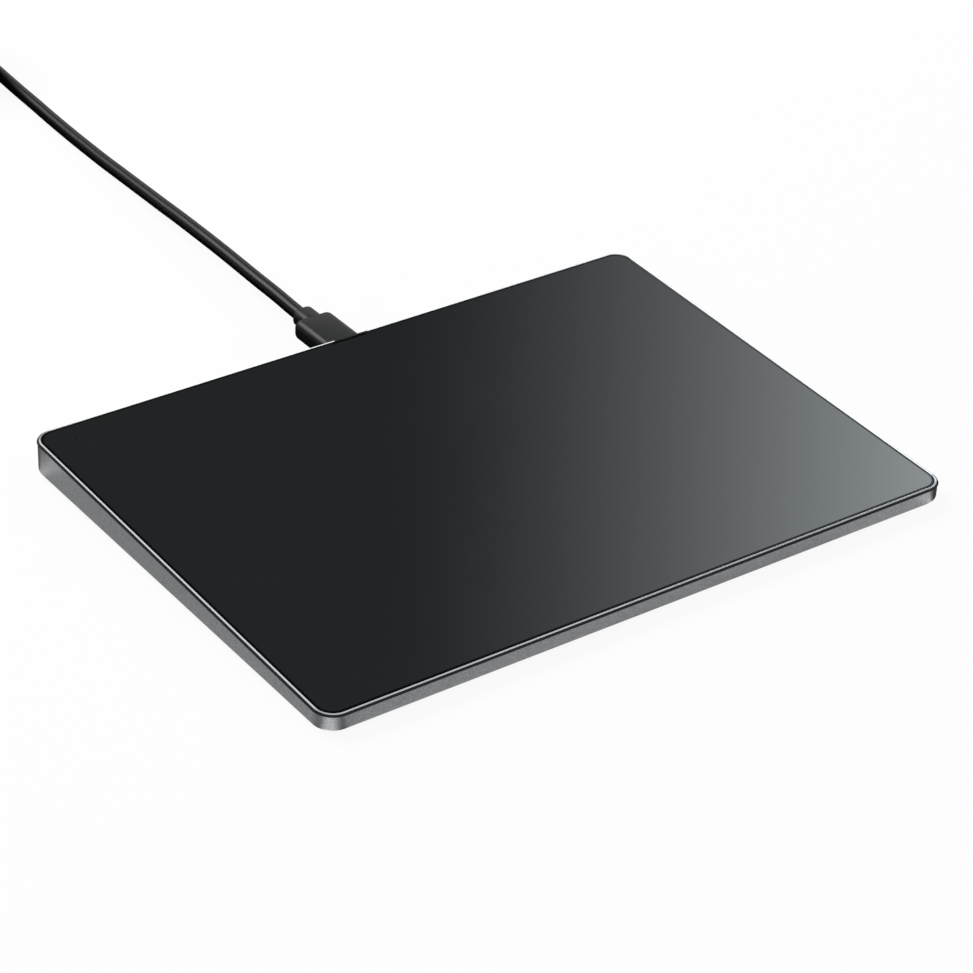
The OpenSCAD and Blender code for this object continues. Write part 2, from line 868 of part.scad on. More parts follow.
// Window in the stiffener round a part of the sensor board
module stiff_window(place, w, d) {
    translate([place[0] - w / 2 - window_gap, place[1] - d / 2 - window_gap, -cut])
        cube([w + 2 * window_gap, d + 2 * window_gap, stiff_t + 2 * cut]);
}

module stiffener_plate() {
    depth = stiff_rear - stiff_front;
    color(steel) {
        tilted()
            translate([0, 0, -stiff_bottom])
                difference() {
                    translate([0, (stiff_rear + stiff_front) / 2, 0])
                        plate(stiff_w, depth, stiff_r, stiff_t);
                    stiff_window([0, switch_l], switch_w, switch_w);
                    stiff_window(touch_chip_place, touch_chip_w, touch_chip_w);
                    stiff_window([flex_x, flex_upper_l], flex_socket_w, flex_socket_d);
                    socket_notch(stiff_t);
                }
        for (x = [-hold_x, hold_x])
            translate([x - hold_w / 2, hold_y - tab_t - hook_clear, hook_z]) {
                cube([hold_w, tab_t, world_z(hold_y, -stiff_bottom) + stiff_t / 2 - hook_z]);
                cube([hold_w, tab_reach - tab_t, hook_t]);
            }
    }
}

module hinge_knuckle(side) {
    color(steel)
        difference() {
            union() {
                tilted()
                    translate([side * hinge_x - knuckle_w / 2, hinge_l - leaf_d / 2, -stiff_bottom - leaf_t])
                        cube([knuckle_w, leaf_d, leaf_t]);
                translate([side * hinge_x - knuckle_w / 2, hinge_y, hinge_z])
                    rotate([0, 90, 0])
                        cylinder(r = barrel_r, h = knuckle_w);
            }
            translate([side * hinge_x - knuckle_w, hinge_y, hinge_z])
                rotate([0, 90, 0])
                    cylinder(r = pin_d / 2 + pin_run, h = 2 * knuckle_w);
        }
}

module switch_body() {
    color(plastic_black)
        tilted()
            translate([0, switch_l, -plate_t - switch_h])
                difference() {
                    translate([0, 0, switch_h / 2])
                        cube([switch_w, switch_w, switch_h], center = true);
                    translate([0, 0, switch_floor])
                        cylinder(r = dome_r + cover_gap, h = switch_h);
                    translate([0, 0, -cut])
                        cylinder(r = plunger_d / 2 + plunger_run, h = switch_h + 2 * cut);
                }
}

// Snap dome with its rim on the board and its crown on the plunger
module switch_dome() {
    arc_r = (dome_r * dome_r + dome_h * dome_h) / (2 * dome_h);
    sweep = asin(dome_r / arc_r);
    steps = 8;
    crown = [for (i = [0 : steps]) let (a = sweep * i / steps) arc_r * [sin(a), cos(a)]];
    inner = [for (i = [steps : -1 : 0]) [crown[i][0], crown[i][1] - dome_t]];
    color(steel)
        tilted()
            translate([0, switch_l, -plate_t])
                mirror([0, 0, 1])
                    translate([0, 0, dome_h - arc_r])
                        rotate_extrude()
                            intersection() {
                                polygon(concat(crown, inner));
                                translate([0, arc_r - dome_h])
                                    square([dome_r, dome_h]);
                            }
}

module switch_plunger() {
    stem = switch_floor + plunger_out;
    color([0.85, 0.3, 0.2])
        tilted()
            translate([0, switch_l, -plunger_bottom]) {
                cylinder(d = plunger_d, h = stem + cover_gap / 2);
                translate([0, 0, stem + cover_gap / 4])
                    cylinder(r = flange_r, h = flange_t);
            }
}

module usb_c_shell() {
    color(steel)
        along_socket(plug_front - plug_in_l, plug_in_l)
            difference() {
                stadium(plug_in_w, plug_in_h);
                stadium(plug_in_w - 2 * plug_in_t, plug_in_h - 2 * plug_in_t);
            }
}

module usb_c_core() {
    core_l = plug_in_l - 0.4;
    core_w = plug_in_w - 2 * plug_in_t - 2 * snug;
    core_h = plug_in_h - 2 * plug_in_t - 2 * snug;
    slot_l = socket_mouth - socket_l + socket_root + tongue_l + 0.3 - plug_front + core_l;
    color(plastic_black)
        difference() {
            along_socket(plug_front - core_l, core_l)
                stadium(core_w, core_h);
            along_socket(plug_front - core_l - cut, slot_l + cut)
                square([plug_slot_w, plug_slot_h], center = true);
        }
}

// Moulded plug body: a straight run with rounded shoulders at its cable end
module moulded_body(w, h, r, l, shoulder) {
    hull() {
        linear_extrude(l - shoulder)
            rounded_rect(w, h, r, $fn = 32);
        linear_extrude(l - shoulder / 4)
            rounded_rect(w - shoulder, h - shoulder / 2, r / 2, $fn = 32);
        linear_extrude(l)
            rounded_rect(w - 2 * shoulder, h - shoulder, r / 2, $fn = 32);
    }
}

module usb_c_overmould() {
    color(plastic_black)
        translate([usb_x, plug_front, usb_z])
            rotate([-90, 0, 0])
                moulded_body(plug_w, plug_h, plug_round, plug_l, plug_shoulder);
}

module usb_c_collar() {
    color(plastic_black)
        along_socket(plug_end, collar_l)
            translate([0, -collar_up])
                rounded_rect(collar_w, collar_h, collar_r);
}

module cable_lead() {
    color(rubber_black)
        tube(lead_route, cord_d, lead_sides);
}

module cable_coil() {
    color(rubber_black)
        tube(coil_route, cord_d, coil_sides);
}

module cable_tail() {
    color(rubber_black)
        tube(tail_route, cord_d, lead_sides);
}

module cable_tie() {
    mid = (tie_in + tie_out) / 2;
    level = (tie_low + tie_high) / 2;
    across = tie_out - tie_in;
    up = tie_high - tie_low;
    color(plastic_black)
        translate([coil_centre[0], coil_centre[1], 0])
            rotate([0, 0, tie_turn])
                translate([mid, tie_w / 2, level])
                    rotate([90, 0, 0])
                        linear_extrude(tie_w)
                            difference() {
                                rounded_rect(across + 2 * tie_t, up + 2 * tie_t, tie_r + tie_t);
                                rounded_rect(across, up, tie_r);
                            }
}

// Frame of the far plug: z runs from its cable end to its mouth
module far_plug(start) {
    translate(tail_end - [start, 0, 0])
        rotate([0, -90, 0])
            rotate([0, 0, 90])
                children();
}

module usb_a_collar() {
    color(plastic_black)
        far_plug(0)
            cylinder(d = far_collar_d, h = far_collar_l);
}

module usb_a_overmould() {
    color(plastic_black)
        far_plug(far_collar_l)
            translate([0, 0, far_l])
                mirror([0, 0, 1])
                    moulded_body(far_w, far_h, far_round, far_l, far_shoulder);
}

module usb_a_shell() {
    color(steel)
        far_plug(far_collar_l + far_l)
            linear_extrude(far_shell_l)
                difference() {
                    square([far_shell_w, far_shell_h], center = true);
                    square([far_shell_w - 2 * far_shell_t, far_shell_h - 2 * far_shell_t], center = true);
                }
}

module usb_a_tongue() {
    tongue_y = (far_shell_h - far_tongue_t) / 2 - far_shell_t;
    color([0.9, 0.9, 0.9])
        far_plug(far_collar_l + far_l)
            linear_extrude(far_tongue_l)
                translate([0, -tongue_y])
                    square([far_shell_w - 2 * far_shell_t, far_tongue_t], center = true);
}

housing_frame();
bottom_cover();
cover_screws();
foot(-1, -1);  // foot_front_left
foot(1, -1);  // foot_front_right
foot(-1, 1);  // foot_rear_left
foot(1, 1);  // foot_rear_right
chassis_plate();
foam_seal();
hinge_bracket(-1);  // hinge_bracket_left
hinge_bracket(1);  // hinge_bracket_right
hinge_pin(-1);  // hinge_pin_left
hinge_pin(1);  // hinge_pin_right
hinge_rivets();
controller_board();
controller_chip();
board_screws();
flex_socket_lower();
usb_socket_shell();
usb_socket_tongue();
striker_insert();
striker_screw();
glass_plate();
edge_band();
indicator_lens();
bond_film();
sensor_board();
touch_chip();
indicator_led();
stiffener_plate();
hinge_knuckle(-1);  // hinge_knuckle_left
hinge_knuckle(1);  // hinge_knuckle_right
switch_body();
switch_dome();
switch_plunger();
flex_socket_upper();
flex_cable();
usb_c_shell();
usb_c_core();
usb_c_overmould();
usb_c_collar();
cable_lead();
cable_coil();
cable_tail();
cable_tie();
usb_a_collar();
usb_a_overmould();
usb_a_shell();
usb_a_tongue();
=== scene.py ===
"""Looks of a desk trackpad: black glass in a wedge-shaped metal housing, with a plug-in cable."""

import json
import math

import bmesh
import bpy
from mathutils import Matrix, Vector


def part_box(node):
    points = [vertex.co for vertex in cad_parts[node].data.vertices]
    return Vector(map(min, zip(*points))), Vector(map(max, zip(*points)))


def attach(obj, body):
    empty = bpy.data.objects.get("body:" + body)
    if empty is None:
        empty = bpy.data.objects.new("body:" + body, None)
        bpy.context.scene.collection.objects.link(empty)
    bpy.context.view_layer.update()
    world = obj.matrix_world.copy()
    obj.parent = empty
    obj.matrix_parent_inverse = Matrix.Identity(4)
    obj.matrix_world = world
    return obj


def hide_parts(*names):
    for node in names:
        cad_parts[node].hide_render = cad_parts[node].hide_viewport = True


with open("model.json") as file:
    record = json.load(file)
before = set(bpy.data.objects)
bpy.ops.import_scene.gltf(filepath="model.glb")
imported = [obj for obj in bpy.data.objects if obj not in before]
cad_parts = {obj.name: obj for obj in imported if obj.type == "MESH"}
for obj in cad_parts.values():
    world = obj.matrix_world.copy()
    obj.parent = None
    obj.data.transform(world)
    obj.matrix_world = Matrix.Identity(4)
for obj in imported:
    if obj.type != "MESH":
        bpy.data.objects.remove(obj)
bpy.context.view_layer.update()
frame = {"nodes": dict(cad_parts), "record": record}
nodes = frame["nodes"]

mm = 0.001

# Closer than this counts as the same place
NEAR = 0.01 * mm

# Housing
BODY_W = 165 * mm
BODY_D = 120 * mm
FRONT_H = 5.1 * mm
REAR_H = 9.0 * mm
CORNER_R = 5 * mm
FOOT_H = 0.8 * mm
RIM_W = 0.92 * mm
BEVEL_W = 0.5 * mm
BEVEL_H = 0.45 * mm
LAND_DROP = 0.08 * mm
RIM_LIP = 0.15 * mm
RIM_EDGE = 0.16 * mm
LEDGE_D = 1.9 * mm
CAVITY_INSET = 3.0 * mm
COVER_INSET = 1.6 * mm
COVER_T = 1.0 * mm
FOOT_ROUND = 1.1 * mm
FOOT_END_R = 3.9 * mm
SOLE_EDGE = 0.3 * mm
EDGE_BREAK = 0.05 * mm
INNER_WALL = 0.6 * mm
PAINT_SLACK = 0.03 * mm
CORNER_STEPS = 20

# Touch plate
GLASS_INSET = 1.5 * mm
GLASS_T = 1.1 * mm
GLASS_EDGE = 0.04 * mm
# Width of the ring along the edge of the glass that is painted black, as shade of the seam round the glass
GLASS_SHADE_RING = 0.07 * mm
LENS_PLACE = (-74.4 * mm, 53.93 * mm)
LENS_R = 0.6 * mm
LENS_GAP = 0.02 * mm
LENS_EDGE = 0.08 * mm

# Socket, plug and cable
SOCKET_X = 1.3 * mm
SOCKET_Z = 5.2 * mm
SOCKET_W = 9.14 * mm
SOCKET_H = 3.36 * mm
SLOT_REACH = 5 * mm
PLUG_W = 10.5 * mm
PLUG_H = 5.3 * mm
PLUG_FRONT = 60.5 * mm
PLUG_L = 14.2 * mm
PLUG_ROUND = 2 * mm
PLUG_SHOULDER = 1.8 * mm
PLUG_FRONT_EDGE = 0.3 * mm
COLLAR_W = 5.6 * mm
COLLAR_H = 4.7 * mm
COLLAR_L = 3.8 * mm
COLLAR_UP = (PLUG_H - COLLAR_H) / 2
COLLAR_SUNK = 1.5 * mm
COLLAR_ROUND = 2 * mm
COLLAR_EDGE = 0.5 * mm
CORD_D = 3.5 * mm
TIP_T = 0.3 * mm

# Far plug and strap
FAR_START = (-20 * mm, 289 * mm, 4.2 * mm)
FAR_COLLAR_L = 4 * mm
FAR_BODY_L = 24 * mm
FAR_BODY_W = 15.6 * mm
FAR_BODY_H = 8 * mm
FAR_ROUND = 2 * mm
FAR_FRONT_EDGE = 0.4 * mm
THUMB_INSET = 1.2 * mm
THUMB_SLOPE = 0.3 * mm
THUMB_D = 0.25 * mm
FAR_TIP_L = 12 * mm
FAR_TIP_W = 12 * mm
FAR_TIP_H = 4.5 * mm
FAR_TIP_T = 0.3 * mm
FAR_TIP_ROUND = 0.5 * mm
WINDOW_NEAR = 5 * mm
WINDOW_L = 2.4 * mm
WINDOW_W = 2.2 * mm
WINDOW_ACROSS = 2.8 * mm
FAR_TONGUE_T = 1.9 * mm
FAR_TONGUE_L = 10.5 * mm
TONGUE_EDGE = 0.3 * mm
STRIP_L = 8 * mm
STRIP_W = 1 * mm
STRIP_T = 0.15 * mm
STRIP_EDGE = 0.06 * mm
STRIP_PLACES = (-3.5 * mm, -1.0 * mm, 1.0 * mm, 3.5 * mm)
STRAP_TURN = 315
STRAP_W = 5 * mm
STRAP_T = 0.6 * mm
STRAP_ROUND = 2.6 * mm
STRAP_EDGE = 0.12 * mm
STRAP_INNER = 10.9125 * mm
STRAP_OUTER = 24.65 * mm
STRAP_LOW = 0.0
STRAP_HIGH = 16.55 * mm

# Light
WORLD_LIGHT = 0.55
ROOM_LIGHT = 0.35
CARD_W = 0.74
CARD_H = 0.46
CARD_REACH = 2.0
CARD_START = -0.0645
CARD_RISE = 0.1634
CARD_GAIN = 0.89
CARD_BASE = 0.185
CARD_FALL = -1.4
CARD_POWER = 1.88
CARD_COLOR = (0.885, 0.955, 1, 1)
CARD_BLACK = (0.01, 0.01, 0.01, 1)
SOFT_EDGE = (0.25, 0.5)
PAPER = (0.86, 0.86, 0.86, 1)
PAPER_SEEN = 0.92
PAPER_MIRRORED = 0.6
FLOOR_CARD_FADE = 0.6
FLOOR_CARD_GLOW = 3.1
# How light each floor card is, by degrees from its middle direction
FRONT_LEFT_STOPS = [
    (-80, 0.27), (-60, 0.25), (-48, 0.07), (-38, 0.11), (-8, 0.6), (8, 0.6), (36, 0.09), (50, 0.15),
    (75, 0.235),
]
FRONT_RIGHT_STOPS = [(-85, 0.005), (56, 0.005), (66, 0.6), (76, 0.6), (88, 0.29)]
REAR_LEFT_STOPS = [(-90, 0.215), (-86, 0.24), (-76, 0.42), (-62, 0.44), (-48, 0.02), (60, 0.02)]

# Each lamp's name, place, width and height in metres, and watts
LAMPS = [
    ("key", (-0.61, 1.25, 1.29), 1.0, 1.0, 24),
    ("rim_left", (0.38, 1.05, 1.04), 0.6, 0.6, 0.52),
    ("rim_front", (0.58, 0.61, 1.24), 0.6, 0.6, 0.3),
    ("rim_corner", (1.09, 0.655, 0.795), 0.25, 0.5, 0.32),
    ("rim_rear", (0.9, 1.1, 0.48), 0.95, 0.26, 1.05),
]

# The top plane of the glass
slope = (REAR_H - FRONT_H) / BODY_D
tilt = math.atan(slope)
mid_h = (FRONT_H + REAR_H) / 2
plate_up = Vector((0, -math.sin(tilt), math.cos(tilt)))
plate_mid = Vector((0, 0, mid_h))
plate_frame = Matrix.Translation(plate_mid) @ Matrix.Rotation(tilt, 4, "X")


def height_on_plate(point):
    """Height of a point above the top plane of the glass."""
    return (Vector(point) - plate_mid).dot(plate_up)


# Camera

CAMERA_PLACE = Vector((-0.37349, -0.499205, 0.394474))
CAMERA_AZIMUTH = math.radians(36.7653)
CAMERA_DOWN = math.radians(32.3313)
CAMERA_ROLL = math.radians(-2.4479)
CAMERA_LENS = 122.6225


def camera_axes():
    """The camera's right, up and forward directions."""
    forward = Vector(
        (
            math.sin(CAMERA_AZIMUTH) * math.cos(CAMERA_DOWN),
            math.cos(CAMERA_AZIMUTH) * math.cos(CAMERA_DOWN),
            -math.sin(CAMERA_DOWN),
        )
    )
    level = forward.cross(Vector((0, 0, 1))).normalized()
    down = forward.cross(level)
    right = math.cos(CAMERA_ROLL) * level + math.sin(CAMERA_ROLL) * down
    return right, right.cross(forward), forward


def add_camera():
    right, up, forward = camera_axes()
    camera_data = bpy.data.cameras.new("photo_camera")
    camera_data.lens = CAMERA_LENS
    camera_data.sensor_width = 36
    camera_data.clip_start = 0.01
    camera_data.clip_end = 20
    camera = bpy.data.objects.new("photo_camera", camera_data)
    turn = Matrix((right, up, -forward)).transposed()
    camera.matrix_world = Matrix.Translation(CAMERA_PLACE) @ turn.to_4x4()
    bpy.context.scene.collection.objects.link(camera)
    bpy.context.scene.camera = camera


add_camera()


# Cable route

LEAD_ROUTE = [
    (1.3, 78.5, 5.3), (1.3, 79.5, 5.3), (1.4, 83.5, 5.3), (1.6, 90.5, 5.4), (1.7, 98, 5.4),
    (1.9, 106, 5.4), (2.1, 114, 5.4), (2.3, 122, 5.3), (2.5, 130, 5.1), (2.75, 138, 4.8), (3, 146, 4.4),
    (3.3, 154, 4), (3.6, 162, 3.6), (3.9, 170, 3.2), (4.2, 178, 2.8), (4.6, 186, 2.45), (5, 194, 2.15),
    (5.4, 202, 1.95), (5.8, 210, 1.85), (6.2, 218, 1.85), (6.5, 226, 1.85), (6.8, 234, 1.95),
    (7, 241, 2.15), (7, 248, 2.45), (7, 252, 2.65), (7, 254, 2.65),
]
TAIL_ROUTE = [
    (7, 260, 13.9), (7, 262, 13.9), (6.5, 268, 13), (4.5, 275, 11.3), (1, 281, 8.9), (-4, 285.5, 6.7),
    (-10, 288, 5), (-15, 289, 4.3), (-18, 289, 4.2), (-20, 289, 4.2),
]
COIL_CENTRE = (-15, 257, 2.65)
COIL_OUTER = 22
COIL_PITCH = 3.75
COIL_LAYERS = 4
LAYER_TURNS = 2.25
COIL_RINGS = 24


def coil_point(turns):
    """A point of the coil after that many turns: it spirals in and out, one layer above the other."""
    layer = min(int(turns / LAYER_TURNS), COIL_LAYERS - 1)
    along = turns - layer * LAYER_TURNS
    inward = along if layer % 2 == 0 else LAYER_TURNS - along
    radius = COIL_OUTER - COIL_PITCH * inward
    level = sum(min(max(2 * (turns - k * LAYER_TURNS) + 0.5, 0), 1) for k in range(1, COIL_LAYERS))
    angle = 2 * math.pi * turns
    x, y, z = COIL_CENTRE
    return (x + radius * math.cos(angle), y + radius * math.sin(angle), z + COIL_PITCH * level)


def cable_points():
    rings = int(COIL_LAYERS * LAYER_TURNS * COIL_RINGS)
    coil = [coil_point(i / COIL_RINGS) for i in range(rings + 1)]
    return [Vector(p) * mm for p in LEAD_ROUTE + coil + TAIL_ROUTE]


def make_cable(points):
    """One smooth curve from the plug's collar through the coil to the far plug."""
    curve = bpy.data.curves.new("cable", "CURVE")
    curve.dimensions = "3D"
    curve.bevel_depth = 1
    curve.bevel_resolution = 6
    curve.resolution_u = 4
    curve.use_fill_caps = True
    spline = curve.splines.new("BEZIER")
    spline.bezier_points.add(len(points) - 1)
    for knot, point in zip(spline.bezier_points, points):
        knot.co = point
        knot.radius = CORD_D / 2
        knot.handle_left_type = "AUTO"
        knot.handle_right_type = "AUTO"
    cable = bpy.data.objects.new("cable", curve)
    bpy.context.scene.collection.objects.link(cable)
    return cable


# Modelling helpers


def begin(name):
    """Names the primitive just added and gives it its size and place in its mesh."""
    obj = bpy.context.object
    obj.name = name
    obj.data.name = name
    bpy.ops.object.transform_apply(location=True, rotation=True, scale=True)
    return obj


def add_block(name, low, high):
    """A box between two corners, as a start for modelling."""
    low, high = Vector(low), Vector(high)
    bpy.ops.object.select_all(action="DESELECT")
    bpy.ops.mesh.primitive_cube_add(size=1, location=(low + high) / 2, scale=high - low)
    return begin(name)


def edit(obj, kind):
    """Edit mode on one object, with nothing selected."""
    bpy.ops.object.select_all(action="DESELECT")
    bpy.context.view_layer.objects.active = obj
    obj.select_set(True)
    bpy.ops.object.mode_set(mode="EDIT")
    bpy.ops.mesh.select_mode(type=kind)
    bpy.ops.mesh.select_all(action="DESELECT")


def leave():
    bpy.ops.object.mode_set(mode="OBJECT")


def pick(obj, kind, test):
    """Selects the vertices, edges or faces that pass the test, in edit mode, and nothing else."""
    bpy.ops.mesh.select_mode(type=kind)
    bpy.ops.mesh.select_all(action="DESELECT")
    mesh = bmesh.from_edit_mesh(obj.data)
    parts = {"VERT": mesh.verts, "EDGE": mesh.edges, "FACE": mesh.faces}[kind]
    for part in parts:
        part.select_set(test(part))
    bmesh.update_edit_mesh(obj.data)


def runs_along(edge, axis):
    """True if an edge runs along a direction."""
    return abs((edge.verts[1].co - edge.verts[0].co).normalized().dot(Vector(axis))) > 0.99


def apply_modifier(obj, kind, **settings):
    bpy.ops.object.select_all(action="DESELECT")
    bpy.context.view_layer.objects.active = obj
    obj.select_set(True)
    modifier = obj.modifiers.new(kind.lower(), kind)
    for key, value in settings.items():
        setattr(modifier, key, value)
    bpy.ops.object.modifier_apply(modifier=modifier.name)


def carve(obj, cutter):
    """Takes the cutter's shape out of an object and removes the cutter."""
    apply_modifier(obj, "BOOLEAN", operation="DIFFERENCE", solver="EXACT", object=cutter)
    bpy.data.objects.remove(cutter, do_unlink=True)


def smooth(obj, degrees=35):
    bpy.ops.object.select_all(action="DESELECT")
    bpy.context.view_layer.objects.active = obj
    obj.select_set(True)
    bpy.ops.object.shade_smooth_by_angle(angle=math.radians(degrees))


def flatten_normals(obj):
    """Keeps large faces flat in shading, so that only the small edges look round."""
    apply_modifier(obj, "WEIGHTED_NORMAL", keep_sharp=True, weight=100)


def place(obj, matrix):
    """Moves a finished mesh and leaves its object at the origin."""
    obj.matrix_world = matrix
    bpy.ops.object.select_all(action="DESELECT")
    bpy.context.view_layer.objects.active = obj
    obj.select_set(True)
    bpy.ops.object.transform_apply(location=True, rotation=True, scale=True)


def copy_piece(obj, name, offset):
    """Another of a finished piece, with its own mesh, moved by an offset."""
    other = obj.copy()
    other.data = obj.data.copy()
    other.name = other.data.name = name
    bpy.context.scene.collection.objects.link(other)
    place(other, Matrix.Translation(offset))
    return other


def dress(obj, body, slot, *replaced):
    """Seats a finished piece on its body, in place of the solids it stands for."""
    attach(obj, body)
    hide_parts(*replaced)
    return obj


# Housing


def make_housing():
    """The wedge frame: a rounded block cut along the top plane, with its rim, rebate and recess."""
    half_w, half_d = BODY_W / 2, BODY_D / 2
    shell = add_block("housing_shell", (-half_w, -half_d, FOOT_H), (half_w, half_d, 2 * REAR_H))
    edit(shell, "EDGE")
    pick(shell, "EDGE", lambda e: runs_along(e, (0, 0, 1)))
    bpy.ops.mesh.bevel(offset=CORNER_R, segments=CORNER_STEPS, affect="EDGES")

    bpy.ops.mesh.select_all(action="SELECT")
    bpy.ops.mesh.bisect(
        plane_co=plate_mid - BEVEL_H * plate_up, plane_no=plate_up, use_fill=True, clear_outer=True
    )
    pick(shell, "FACE", lambda f: f.normal.dot(plate_up) > 0.999)
    bpy.ops.mesh.inset(thickness=BEVEL_W, depth=BEVEL_H - LAND_DROP)
    bpy.ops.mesh.inset(thickness=RIM_W - BEVEL_W, depth=LAND_DROP)
    bpy.ops.mesh.inset(thickness=RIM_EDGE, depth=-RIM_EDGE)
    bpy.ops.mesh.extrude_region_move(TRANSFORM_OT_translate={"value": (RIM_EDGE - LEDGE_D) * plate_up})
    bpy.ops.mesh.inset(thickness=CAVITY_INSET - RIM_W - RIM_EDGE, depth=0)
    bpy.ops.mesh.delete(type="ONLY_FACE")

    bpy.ops.mesh.select_all(action="SELECT")
    lip_low = BEVEL_H + RIM_LIP
    bpy.ops.mesh.bisect(plane_co=plate_mid - lip_low * plate_up, plane_no=plate_up)
    pick(
        shell,
        "VERT",
        lambda v: height_on_plate(v.co) < -lip_low + NEAR and not inside_rim(v.co),
    )
    bpy.ops.transform.resize(
        value=(1 - 2 * RIM_LIP / BODY_W, 1 - 2 * RIM_LIP / BODY_D, 1), center_override=(0, 0, 0)
    )

    pick(shell, "EDGE", lambda e: max(v.co.z for v in e.verts) < FOOT_H + NEAR)
    bpy.ops.mesh.bevel(offset=FOOT_ROUND, segments=8, affect="EDGES")
    pick(shell, "FACE", lambda f: f.normal.z < -0.999)
    bpy.ops.mesh.inset(thickness=COVER_INSET - RIM_LIP - FOOT_ROUND, depth=0)
    bpy.ops.mesh.extrude_region_move(TRANSFORM_OT_translate={"value": (0, 0, COVER_T)})
    bpy.ops.mesh.inset(thickness=CAVITY_INSET - COVER_INSET, depth=0)
    bpy.ops.mesh.delete(type="ONLY_FACE")

    pick(shell, "EDGE", lambda e: e.is_boundary)
    bpy.ops.mesh.bridge_edge_loops()
    leave()
    carve(shell, make_slot_cutter())
    apply_modifier(
        shell,
        "BEVEL",
        width=EDGE_BREAK,
        segments=2,
        limit_method="ANGLE",
        angle_limit=math.radians(30),
        use_clamp_overlap=True,
    )
    smooth(shell, 15)
    flatten_normals(shell)
    return shell


def reach_out(point, depth):
    """How far out a point lies towards a rounded outline, which itself is at CORNER_R."""
    x = max(abs(point.x) - BODY_W / 2 + CORNER_R, 0)
    y = max(abs(point.y) - depth / 2 + CORNER_R, 0)
    return math.hypot(x, y)


def inside_rim(point):
    """True for the walls of the glass rebate and the cavity, which keep their size."""
    return reach_out(point, BODY_D) < CORNER_R - INNER_WALL


def make_slot_cutter():
    """The rounded slot in the rear wall that takes the plug."""
    cutter = add_block(
        "slot_cutter",
        (SOCKET_X - SOCKET_W / 2, BODY_D / 2 - SLOT_REACH, SOCKET_Z - SOCKET_H / 2),
        (SOCKET_X + SOCKET_W / 2, BODY_D / 2 + SLOT_REACH, SOCKET_Z + SOCKET_H / 2),
    )
    edit(cutter, "EDGE")
    pick(cutter, "EDGE", lambda e: runs_along(e, (0, 1, 0)))
    bpy.ops.mesh.bevel(offset=SOCKET_H / 2 - NEAR, segments=12, affect="EDGES")
    leave()
    return cutter


def make_glass():
    """The glass, with a fine edge round its face and a bore for the indicator lens."""
    half_w = BODY_W / 2 - GLASS_INSET
    half_d = BODY_D / math.cos(tilt) / 2 - GLASS_INSET
    glass = add_block("glass_face", (-half_w, -half_d, -GLASS_T), (half_w, half_d, 0))
    edit(glass, "EDGE")
    pick(glass, "EDGE", lambda e: runs_along(e, (0, 0, 1)))
    bpy.ops.mesh.bevel(offset=CORNER_R - GLASS_INSET, segments=CORNER_STEPS, affect="EDGES")
    pick(glass, "EDGE", lambda e: min(v.co.z for v in e.verts) > -NEAR)
    bpy.ops.mesh.bevel(offset=GLASS_EDGE, segments=3, affect="EDGES")
    # The face is inset for a narrow ring along its edge, which is painted black as shade of the seam
    pick(glass, "FACE", lambda f: f.normal.z > 0.999)
    bpy.ops.mesh.inset(thickness=GLASS_SHADE_RING)
    leave()
    bpy.ops.object.select_all(action="DESELECT")
    bpy.ops.mesh.primitive_cylinder_add(
        vertices=48, radius=LENS_R + LENS_GAP, depth=4 * GLASS_T, location=(*LENS_PLACE, 0)
    )
    carve(glass, begin("lens_cutter"))
    smooth(glass, 30)
    flatten_normals(glass)
    place(glass, plate_frame)
    return glass


def on_glass_shade_ring(point):
    """Whether a point lies on the ring along the edge of the glass that is painted black as shade of the
    seam.
    """
    local = plate_frame.inverted() @ Vector(point)
    return reach_out(local, BODY_D / math.cos(tilt)) > CORNER_R - GLASS_INSET - GLASS_EDGE - GLASS_SHADE_RING


def make_lens():
    """The indicator lens, a small plug of dark plastic with a softened edge."""
    bpy.ops.object.select_all(action="DESELECT")
    bpy.ops.mesh.primitive_cylinder_add(
        vertices=48, radius=LENS_R, depth=GLASS_T, location=(*LENS_PLACE, -GLASS_T / 2)
    )
    lens = begin("indicator_window")
    edit(lens, "EDGE")
    pick(lens, "EDGE", lambda e: min(v.co.z for v in e.verts) > -NEAR)
    bpy.ops.mesh.bevel(offset=LENS_EDGE, segments=3, affect="EDGES")
    leave()
    smooth(lens)
    place(lens, plate_frame)
    return lens


def make_foot(node):
    """A rubber foot with rounded ends and a softened sole."""
    foot = add_block(node + "_pad", *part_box(node))
    edit(foot, "EDGE")
    pick(foot, "EDGE", lambda e: runs_along(e, (0, 0, 1)))
    bpy.ops.mesh.bevel(offset=FOOT_END_R, segments=12, affect="EDGES")
    pick(foot, "EDGE", lambda e: max(v.co.z for v in e.verts) < NEAR)
    bpy.ops.mesh.bevel(offset=SOLE_EDGE, segments=4, affect="EDGES")
    leave()
    smooth(foot)
    return foot


# Plug at the pad


def make_plug_body():
    """The moulded plug: a soft-cornered bar with rounded shoulders towards the cable."""
    end = PLUG_FRONT + PLUG_L
    body = add_block(
        "plug_body",
        (SOCKET_X - PLUG_W / 2, PLUG_FRONT, SOCKET_Z - PLUG_H / 2),
        (SOCKET_X + PLUG_W / 2, end, SOCKET_Z + PLUG_H / 2),
    )
    edit(body, "EDGE")
    pick(body, "EDGE", lambda e: runs_along(e, (0, 1, 0)))
    bpy.ops.mesh.bevel(offset=PLUG_ROUND, segments=10, affect="EDGES")
    pick(body, "EDGE", lambda e: min(v.co.y for v in e.verts) > end - NEAR)
    bpy.ops.mesh.bevel(offset=PLUG_SHOULDER, segments=8, affect="EDGES")
    pick(body, "EDGE", lambda e: max(v.co.y for v in e.verts) < PLUG_FRONT + NEAR)
    bpy.ops.mesh.bevel(offset=PLUG_FRONT_EDGE, segments=3, affect="EDGES")
    leave()
    smooth(body)
    return body


